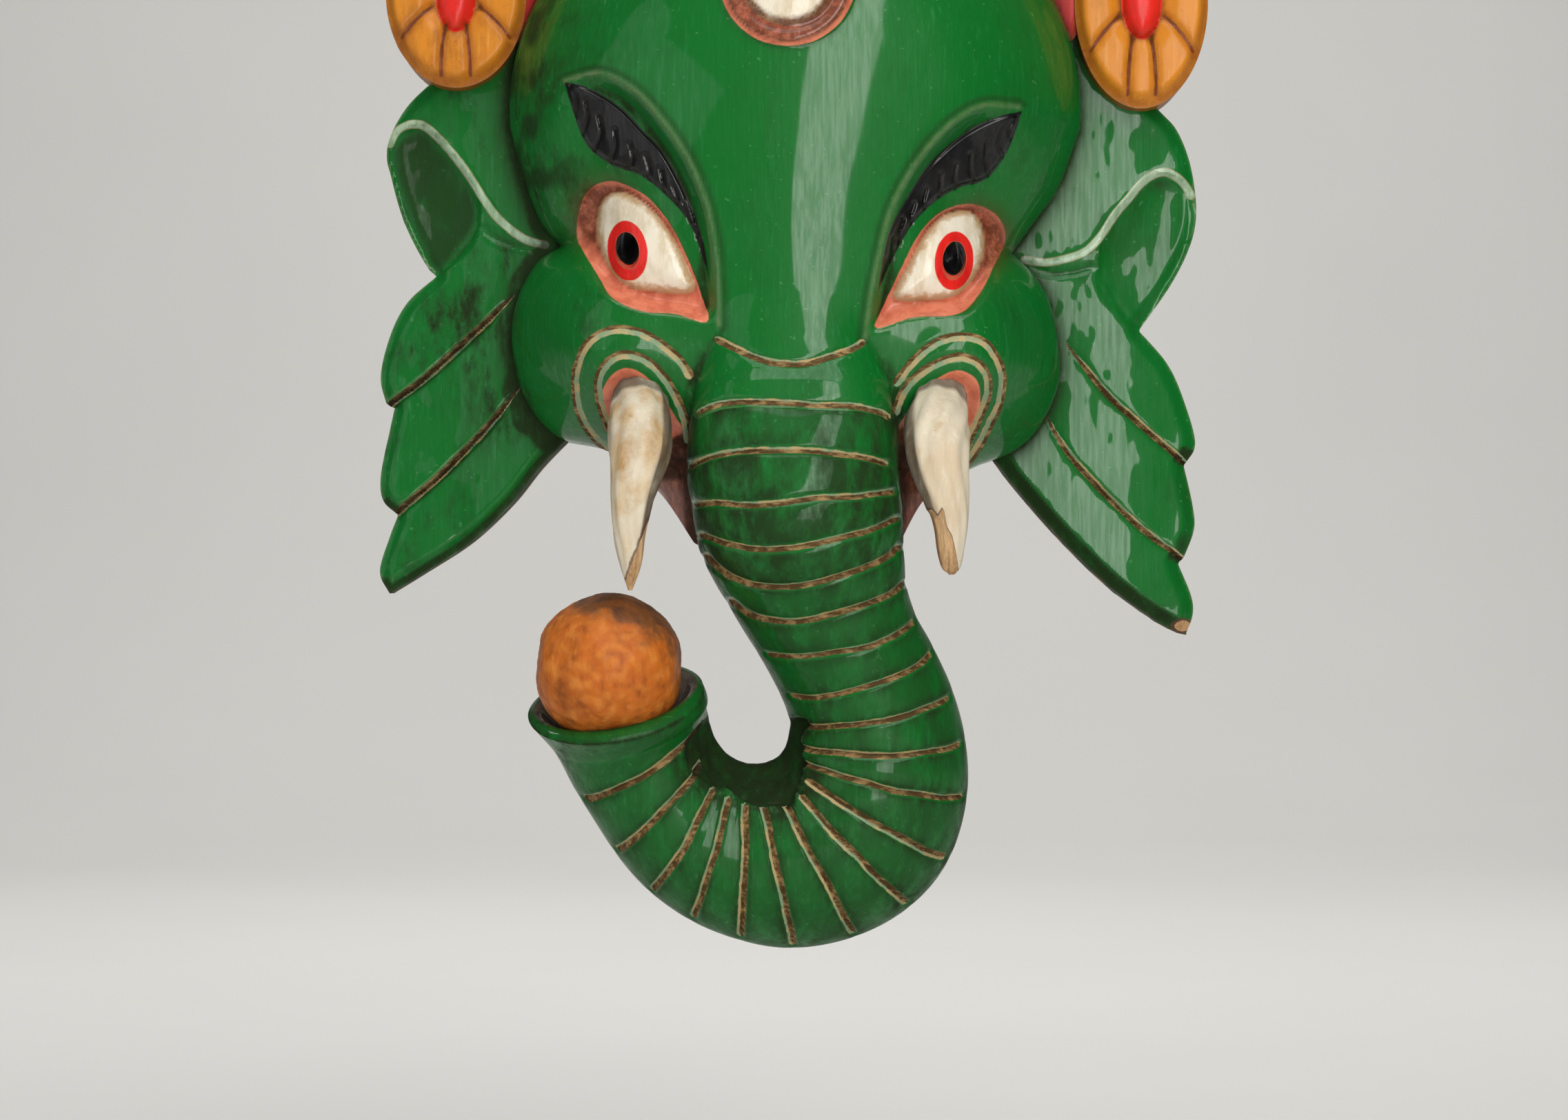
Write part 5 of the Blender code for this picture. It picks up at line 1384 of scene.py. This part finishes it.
def groove_gaps(at, across, forward):
    """Distance to the nearest V-cut and past it, how much of the cut is there, and the place between cuts."""
    step = 0.05
    speed = np.linalg.norm(trunk_place(np.minimum(at + step, LAST_RIB), across, forward)
                           - trunk_place(np.maximum(at - step, 0), across, forward), axis=1) / (2 * step)
    speed = np.maximum(speed, 0.5)
    place = trunk_place(at, across, forward)
    waver = 0.9 * lumps(place[:, 0], 0 * at, place[:, 2], 16.0, 31.0)
    nearest = np.clip(np.round(at), FIRST_GROOVE, LAST_GROOVE)
    offset = (at - nearest) * speed + waver
    start = np.interp(nearest, CUT_STARTS[:, 0], CUT_STARTS[:, 1])
    end = 0.985 + 0.01 * np.sin(nearest * 1.7)
    reach = ease((across - start) / 0.08) * ease((end - across) / 0.04)
    gap = np.abs(offset) + 4.0 * (1 - reach)
    seen = drawn_place(place[:, (0, 2)], -place[:, 1])
    near_root = at < FIRST_GROOVE + 0.5
    for path in ROOT_CUTS:
        close, side = distance(seen[near_root, 0], seen[near_root, 1], path)
        nearer = close < gap[near_root]
        gap[near_root] = np.where(nearer, close, gap[near_root])
        offset[near_root] = np.where(nearer, -close * side, offset[near_root])
        reach[near_root] = np.where(nearer, 1, reach[near_root])
    between_cuts = np.clip(gap / 9, 0, 1)
    in_front = ease((forward + 0.15) / 0.2)
    return offset, gap + 4.0 * (1 - in_front), reach * in_front, between_cuts


BEND_LINE = true_place(curve([(8, -352), (5, -361.5), (6, -372.5), (3, -381), (0, -387.5), (-16.5, -387.5),
                              (-25, -381.5), (-35, -378.5), (-44, -366), (-34, -350), (-26, -352),
                              (-14, -362), (-4, -352)], 2.0, True), 84)
BEND_RECESS = 4.5

# %% Relief along the trunk
bm, along, turn = rolled_tube(RING_COUNT + LIP_RINGS + SEAT_RINGS, TRUNK_SIDES)
row = along * (RING_COUNT + LIP_RINGS + SEAT_RINGS)
ribs = [rib_middle(k) for k in range(LAST_RIB + 1)]
outer_edge = np.array([middle + side for middle, side, _ in ribs])
rib_gaps = np.linalg.norm(np.diff(outer_edge, axis=0), axis=1)
ring_spread = np.concatenate([[0], np.cumsum(rib_gaps + RING_EVENNESS)])
at = np.interp(np.minimum(row / RING_COUNT, 1) * ring_spread[-1], ring_spread, np.arange(LAST_RIB + 1))
across, forward = section(turn, at)
offset, gap, reach, between_cuts = groove_gaps(at, across, forward)
ribbed = ease((at - 1.5) / 1.0) * ease((LAST_GROOVE + 0.8 - at) / 0.8)
lift = SEGMENT_BULGE * (1 - (1 - between_cuts) ** 2) * ribbed
lift = lift - GROOVE_DEPTH * np.maximum(0, 1 - gap / GROOVE_HALF) * reach
skin_x, skin_y, skin_z = trunk_place(at, across, forward).T
lift = lift + 0.5 * lumps(skin_x, skin_y, skin_z, 22.0, 40.0)
lift = lift - 1.4 * ease((skin_z - np.interp(skin_x, SEAM[:, 0], SEAM[:, 1])) / 3)
in_bend = np.where(forward > -0.2, inside(skin_x, skin_z, BEND_LINE), FAR)
off_outline = 0.1 + 0.9 * ease((forward - 0.05) / 0.4)
rough = 1 + 0.25 * lumps(skin_x, skin_y, skin_z, 4.0, 44.0)
lift = lift - BEND_RECESS * ease(in_bend / 4) * off_outline * rough
place = trunk_place(at, across, forward, lift)
print("trunk skin lifted from", lift.min().round(1), "to", lift.max().round(1))

# %% The lip and the seat of the cup


def seat_ring(share, slack):
    """Radius and height of the seat, from the lip at 1 to the floor; slack widens it towards the lip."""
    lip = float(np.linalg.norm(CUP_SIDE)) - CUP_WALL
    steepest = math.atan2(lip, BALL_ABOVE_LIP)
    seat = BALL_RADIUS + FIT_GAP * 2
    reach = seat + slack * (math.hypot(lip, BALL_ABOVE_LIP) - seat) * share ** 2
    return reach * np.sin(steepest * share), reach * np.cos(steepest * share)


cos_turn, sin_turn = np.cos(2 * math.pi * turn), np.sin(2 * math.pi * turn)
near = np.maximum(sin_turn, 0)
near_rise = NEAR_LIP_RISE * near - FAR_LIP_DROP * np.maximum(-sin_turn, 0)
place = place + np.outer(near_rise * ease((at - LAST_RIB + 1.6) / 1.6), CUP_AXIS)

side_unit = CUP_SIDE / np.linalg.norm(CUP_SIDE)
front_unit = CUP_FRONT / np.linalg.norm(CUP_FRONT)
round_turn = np.outer(cos_turn, side_unit) + np.outer(sin_turn, front_unit)
outer_ring = CUP_MIDDLE + (np.outer(cos_turn, CUP_SIDE) + np.outer(sin_turn, CUP_FRONT))
lip_share = np.clip((row - RING_COUNT) / LIP_RINGS, 0, 1)
seat_share = np.interp(row, [RING_COUNT + LIP_RINGS, RING_COUNT + LIP_RINGS + SEAT_RINGS], [1, 0.03])
seat_radius, seat_drop = seat_ring(seat_share, 1 - 0.85 * near)
seat_place = BALL_CENTRE - np.outer(seat_drop, CUP_AXIS) + round_turn * seat_radius[:, None]
lip_rise = np.outer(0.9 * np.sin(math.pi * lip_share) + near_rise * ease((seat_share - 0.7) / 0.3), CUP_AXIS)
past_lip = (lip_share > 0)[:, None]
lip_place = outer_ring * (1 - lip_share)[:, None] + seat_place * lip_share[:, None] + lip_rise
place = np.where(past_lip, lip_place, place)

behind = hollow_depth(place[:, 0], place[:, 2])
buried = (inside(place[:, 0], place[:, 2], HOLLOW_OUTLINE) > -2) & (-place[:, 1] < behind + 3)
place[:, 1] = np.where(buried, -(behind + 3), place[:, 1])
for vert, spot in zip(bm.verts, place):
    vert.co = spot
print("points of the trunk kept inside the wood of the head:", int(buried.sum()))

# %% Paint the trunk
LOWEST_RIB = 12.5
in_cup = ease((lip_share - 0.35) / 0.3)
above_face = -place[:, 1] - face_depth(place[:, 0], place[:, 2])
in_head = inside(place[:, 0], place[:, 2], HEAD_OUTLINE) > 0
trunk_fields = {
    "cut": np.where(row < RING_COUNT, np.where(at < LOWEST_RIB, 1.3, 1.6) - gap, FAR),
    # The pale lip keeps to the upper side of each cut on both arms of the U, partly as a painted highlight.
    "upper": 2.0 * (1 - reach) - offset * np.where(at < LOWEST_RIB, 1, -1),
    "dust": np.where(lip_share > 0, 6 * lip_share - 2.5 - 6 * near * (seat_share > 0.93), FAR),
    # Painted shade inside the bend, deep in the cup, where the trunk goes into the face, and on its side
    # towards the wall.
    "crease": np.maximum.reduce([
        ease(in_bend / 1.5), 0.6 * ease((0.7 - seat_share) / 0.2) * in_cup,
        np.where(in_head, np.exp(-np.clip(above_face, 0, 50) / 3.0) * ease((0.75 - forward) / 0.25), 0),
        0.5 * ease((-0.35 - forward) / 0.4)]),
}
trunk = finish_piece("mask_trunk", bm, green_paint, trunk_fields)
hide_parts("mask")

# %% [markdown]
# ## The tusks
# Each tusk is a whittled peg: round where it enters its socket, then pared with long flat cuts to a point.
# The right one has lost its tip, and its paint is chipped back to bare wood. The same rolled grid makes
# them.

# %% Whittle the tusks
TUSK_SEAT_DEPTH, TUSK_SEAT_TAPER = 0.020 / UNIT, 0.78
# Each station of a tusk: x, z, depth and radius, from the socket to the tip
TUSKS = {
    "tusk_left": ((-61, -226, 84, 12.2), (-61, -233, 93, 13.2), (-61, -242, 100, 12.9),
                  (-62.3, -252, 104, 11.0), (-64.2, -263, 107, 8.8), (-65.3, -276, 108, 6.8),
                  (-64.8, -289, 107.5, 4.5), (-65, -299.5, 106, 0.9)),
    "tusk_right": ((60.5, -226, 84, 12.0), (59.5, -233, 93, 13.4), (59.8, -242, 100, 13.3),
                   (61.3, -252, 104, 11.8), (63.5, -263, 107, 9.4), (65.0, -273, 108, 7.4),
                   (65.0, -283, 107.5, 5.9), (65.2, -290, 106.5, 4.2), (65.4, -293, 106, 1.8)),
}
IVORY = (srgb(240, 233, 218), srgb(222, 210, 186), srgb(192, 160, 116))
tusk_paint = painted_finish(
    "tusk_cream", IVORY, [("salmon", srgb(206, 178, 136), srgb(180, 140, 92), 5.0, 0.55, None)],
    everywhere(0.25), 0.12, 0.5, 0.35, srgb(58, 40, 22), specks=srgb(110, 84, 58))
TUSK_RINGS, TUSK_SIDES, TUSK_FACETS = 150, 60, 9


def whittled_tusk(name, side_sign, seed):
    """A pared peg along its stations, with the places that its paint needs."""
    stations = [(*true_place(row[:2], row[2]), row[2], row[3]) for row in TUSKS[name]]
    places = [np.array([x, -depth, z]) for x, z, depth, _ in stations]
    into = (places[0] - places[1]) / np.linalg.norm(places[0] - places[1])
    places = [places[0] + into * TUSK_SEAT_DEPTH] + places
    radii = [stations[0][3] * TUSK_SEAT_TAPER] + [row[3] for row in stations]
    line = curve(np.column_stack([np.array(places), radii]), 1.0)
    length = np.concatenate([[0], np.cumsum(np.linalg.norm(np.diff(line[:, :3], axis=0), axis=1))])

    def on_line(at):
        return np.column_stack([np.interp(at, length, line[:, i]) for i in range(3)])

    bm, along, turn = rolled_tube(TUSK_RINGS, TUSK_SIDES)
    spot = along * length[-1]
    middle = on_line(spot)
    radius = np.interp(spot, length, line[:, 3])
    ahead = on_line(spot + 1.0) - on_line(spot - 1.0)
    ahead = ahead / np.linalg.norm(ahead, axis=1)[:, None]
    side = np.cross(ahead, (0, -1.0, 0))
    side = side / np.maximum(np.linalg.norm(side, axis=1), 1e-6)[:, None]
    up = np.cross(side, ahead)
    angle = 2 * math.pi * turn
    facet = 2 * math.pi / TUSK_FACETS
    off_facet = (angle + 0.25 * np.sin(spot / 9 + seed)) % facet - facet / 2
    pared = 1 - 0.055 * (1 - np.cos(off_facet * TUSK_FACETS / 2) ** 2) - 0.02
    rough = 0.03 * lumps(np.cos(angle) * 12, spot * 0.3, np.sin(angle) * 12, 4.0, seed)
    radius = radius * (pared + rough)
    place = middle + (side * np.cos(angle)[:, None] + up * np.sin(angle)[:, None]) * radius[:, None]
    from_tip = length[-1] - spot
    facing_in = -(place[:, 0] - middle[:, 0]) * side_sign
    return bm, place, spot, angle, from_tip, facing_in, middle, radius


# %% Chip, stain and finish the tusks
TIP_DEPTH = 107
for name, side_sign, seed in (("tusk_left", -1, 1.0), ("tusk_right", 1, 2.0)):
    bm, place, spot, angle, from_tip, facing_in, middle, radius = whittled_tusk(name, side_sign, seed)
    split = 3.0 * lumps(np.cos(angle) * 9, 0 * spot, np.sin(angle) * 9, 3.0, 50 + seed)
    if name == "tusk_left":
        high, low = true_place([(-59.1, -275.7), (-67.0, -295.8)], TIP_DEPTH)
        along_edge = (low - high) / np.linalg.norm(low - high)
        bare = ((place[:, 0] - high[0]) * -along_edge[1] + (place[:, 2] - high[1]) * along_edge[0]
                + 0.25 * split)
    else:
        edge = true_place([(50, -268), (57.5, -267), (59.5, -270), (61.7, -266), (63, -274), (65.5, -278.5),
                           (67.2, -285), (68.3, -292), (80, -300)], TIP_DEPTH)
        bare = np.interp(place[:, 0], edge[:, 0], edge[:, 1]) - place[:, 2]
        cleft_x = true_place((63.4, -288), TIP_DEPTH)[0]
        cleft = np.exp(-((place[:, 0] - cleft_x) / 0.9) ** 2) * ease((12 - from_tip) / 8)
        place = place + (middle - place) * (0.08 * ease((bare + 1) / 3) + 0.35 * cleft)[:, None]
    for vert, p in zip(bm.verts, place):
        vert.co = p
    stained = (3.0 * lumps(place[:, 0], place[:, 1], place[:, 2] / 2, 7.0, 60 + seed)
               - np.abs(from_tip - 52) * 0.06)
    # Painted shade on the inner side of each tusk, towards the trunk, and where it goes into its socket.
    shaded_inner_side = ease((facing_in / np.maximum(radius, 0.5) - 0.66) / 0.12)
    at_socket = np.clip(0.9 - (spot - 19) / 4, 0, 0.9)
    fields = {
        "salmon": stained + (0.5 if name == "tusk_left" else -1.4),
        "bare": np.where(shaded_inner_side > 0.8, np.minimum(bare, 1.0), bare),
        "crease": np.maximum(at_socket, 0.95 * shaded_inner_side * (from_tip > 12)),
    }
    tusk = finish_piece(name + "_carved", bm, tusk_paint, fields)
    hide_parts(name)

# %% [markdown]
# ## The ball
# The round sweet in the trunk's cup is shaped by hand too: eight broad flats, small lumps and pits, orange
# paint and a brown, dusty top. An icosphere has even faces and no poles, so the flats stay clean.

# %% Shape the ball
# Where each flat faces, and how far it lies from the centre as a share of the radius
FLATS = [(Vector(towards).normalized(), reach) for towards, reach in
         (((-1, -0.15, 0.1), 0.93), ((1, -0.1, -0.05), 0.93), ((0.2, -1, 0.5), 0.95),
          ((-0.6, -0.7, 0.2), 0.96), ((0.1, -0.5, -0.9), 0.95), ((-0.4, -0.2, 0.9), 0.95),
          ((0.5, 0.3, 0.8), 0.96), ((0, 1, 0.1), 0.95))]
FLAT_SHARPNESS = 70
ball_paint = painted_finish(
    "ball_orange", (srgb(228, 146, 66), srgb(198, 106, 34), srgb(128, 64, 26)),
    [("salmon", srgb(194, 102, 36), srgb(146, 74, 28), 6.0, 0.55, None),
     ("white", srgb(216, 132, 56), srgb(204, 118, 46), 6.0, 0.55, None),
     ("black", srgb(128, 78, 42), srgb(92, 62, 46), 14.0, 0.6, None)], everywhere(0.9), 0.12, 0.55, 0.3,
    srgb(74, 44, 24), 2.2, specks=srgb(84, 46, 26))
bm = bmesh.new()
bmesh.ops.create_icosphere(bm, subdivisions=7, radius=1)
for vert in bm.verts:
    direction = vert.co.normalized()
    reaches = [1.0] + [reach / max(direction.dot(flat), 0.3) for flat, reach in FLATS]
    cut = -math.log(sum(math.exp(-FLAT_SHARPNESS * reach) for reach in reaches)) / FLAT_SHARPNESS
    pitted = 0.010 * noise.noise(direction * 5) + 0.006 * noise.noise(direction * 14)
    vert.co = direction * (min(cut * (0.992 + pitted), 1.0) * BALL_RADIUS) + Vector(BALL_CENTRE)

# %% Paint the ball
CAP_TILT = np.array([0.42, 0.2, 0.88])
places = np.array([vert.co for vert in bm.verts])
height = (places - BALL_CENTRE) @ CAP_TILT
ball_fields = {
    "black": height - 16 + 9 * lumps(*places.T, 9.0, 70.0),
    "salmon": 4 * lumps(*places.T, 4.0, 71.0) - 0.5,
    "white": 4 * lumps(*places.T, 4.0, 72.0) - 1.2,
    # Painted shade on the part of the ball that sits down in the cup.
    "crease": 0.5 * ease((-(places - BALL_CENTRE) @ CUP_AXIS - BALL_ABOVE_LIP - 1) / 4),
}
ball = finish_piece("ball_carved", bm, ball_paint, ball_fields)
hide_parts("ball")

# %% [markdown]
# ## Studio
# The mask hangs free in front of a pale sweep. A tall soft light on the right gives the long vertical gleam
# on the forehead and trunk, and a large weak one on the left fills the shadows. The camera looks from where
# the photograph was taken.

# %% Floor and backdrop
STAGE_Z, STAGE_HALF = -0.62, 7
SWEEP_START, SWEEP_RADIUS = 2.6, 1.6
stage_mesh = bpy.data.meshes.new("studio_floor")
bm = bmesh.new()
bmesh.ops.create_grid(bm, x_segments=1, y_segments=60, size=STAGE_HALF)
for vert in bm.verts:
    past = vert.co.y - SWEEP_START
    turn = min(max(past / SWEEP_RADIUS, 0), math.pi / 2)
    rise = max(past - SWEEP_RADIUS * math.pi / 2, 0)
    vert.co = (vert.co.x * 1.6, min(vert.co.y, SWEEP_START) + SWEEP_RADIUS * math.sin(turn),
               STAGE_Z + SWEEP_RADIUS * (1 - math.cos(turn)) + rise)
for face in bm.faces:
    face.smooth = True
bm.to_mesh(stage_mesh)
bm.free()
stage_paint = bpy.data.materials.new("studio_floor")
stage_paint.use_nodes = True
tree = stage_paint.node_tree
floor_tone = blend(tree, cloud(tree, 0.6), srgb(206, 204, 200), srgb(214, 212, 208))
tree.links.new(floor_tone, tree.nodes["Principled BSDF"].inputs["Base Color"])
tree.nodes["Principled BSDF"].inputs["Roughness"].default_value = 0.8
stage_mesh.materials.append(stage_paint)
studio_floor = bpy.data.objects.new("studio_floor", stage_mesh)
bpy.context.scene.collection.objects.link(studio_floor)

# %% Lights


def softbox(name, width, height, place, towards, power, colour=(1, 1, 1)):
    """A rectangular light that faces a point."""
    light = bpy.data.lights.new(name, "AREA")
    light.shape, light.size, light.size_y = "RECTANGLE", width, height
    light.energy, light.color = power, colour
    lamp = bpy.data.objects.new(name, light)
    lamp.location = place
    lamp.rotation_euler = (Vector(towards) - Vector(place)).to_track_quat("-Z", "Z").to_euler()
    bpy.context.scene.collection.objects.link(lamp)


MIDDLE = (0, -0.06, -0.20)
softbox("key_strip", 0.42, 1.8, (0.33, -1.42, 0.0), MIDDLE, 16.5, (1.0, 0.98, 0.95))
softbox("fill_left", 1.6, 1.8, (-1.5, -1.2, 0.1), MIDDLE, 7, (0.96, 0.98, 1.0))
softbox("top_soft", 1.4, 0.9, (0.1, -0.9, 1.2), MIDDLE, 12)
softbox("sweep_light", 3.0, 1.5, (0.0, 1.2, 2.0), (0, 3.2, -0.4), 90)
world = bpy.data.worlds.new("studio_air")
world.use_nodes = True
world.node_tree.nodes["Background"].inputs["Color"].default_value = srgb(208, 208, 206)
world.node_tree.nodes["Background"].inputs["Strength"].default_value = 0.12
bpy.context.scene.world = world
bpy.context.scene.view_settings.view_transform = "Standard"

# %% Camera
camera = bpy.data.cameras.new("photo_view")
camera.sensor_width, camera.lens = 36.0, 90.46
viewer = bpy.data.objects.new("photo_view", camera)
viewer.location = (VIEW_AXIS[0] * UNIT, -(EYE_DISTANCE + DRAWING_DEPTH) * UNIT, VIEW_AXIS[1] * UNIT)
viewer.rotation_euler = (math.radians(90), 0, 0)
bpy.context.scene.collection.objects.link(viewer)
bpy.context.scene.camera = viewer
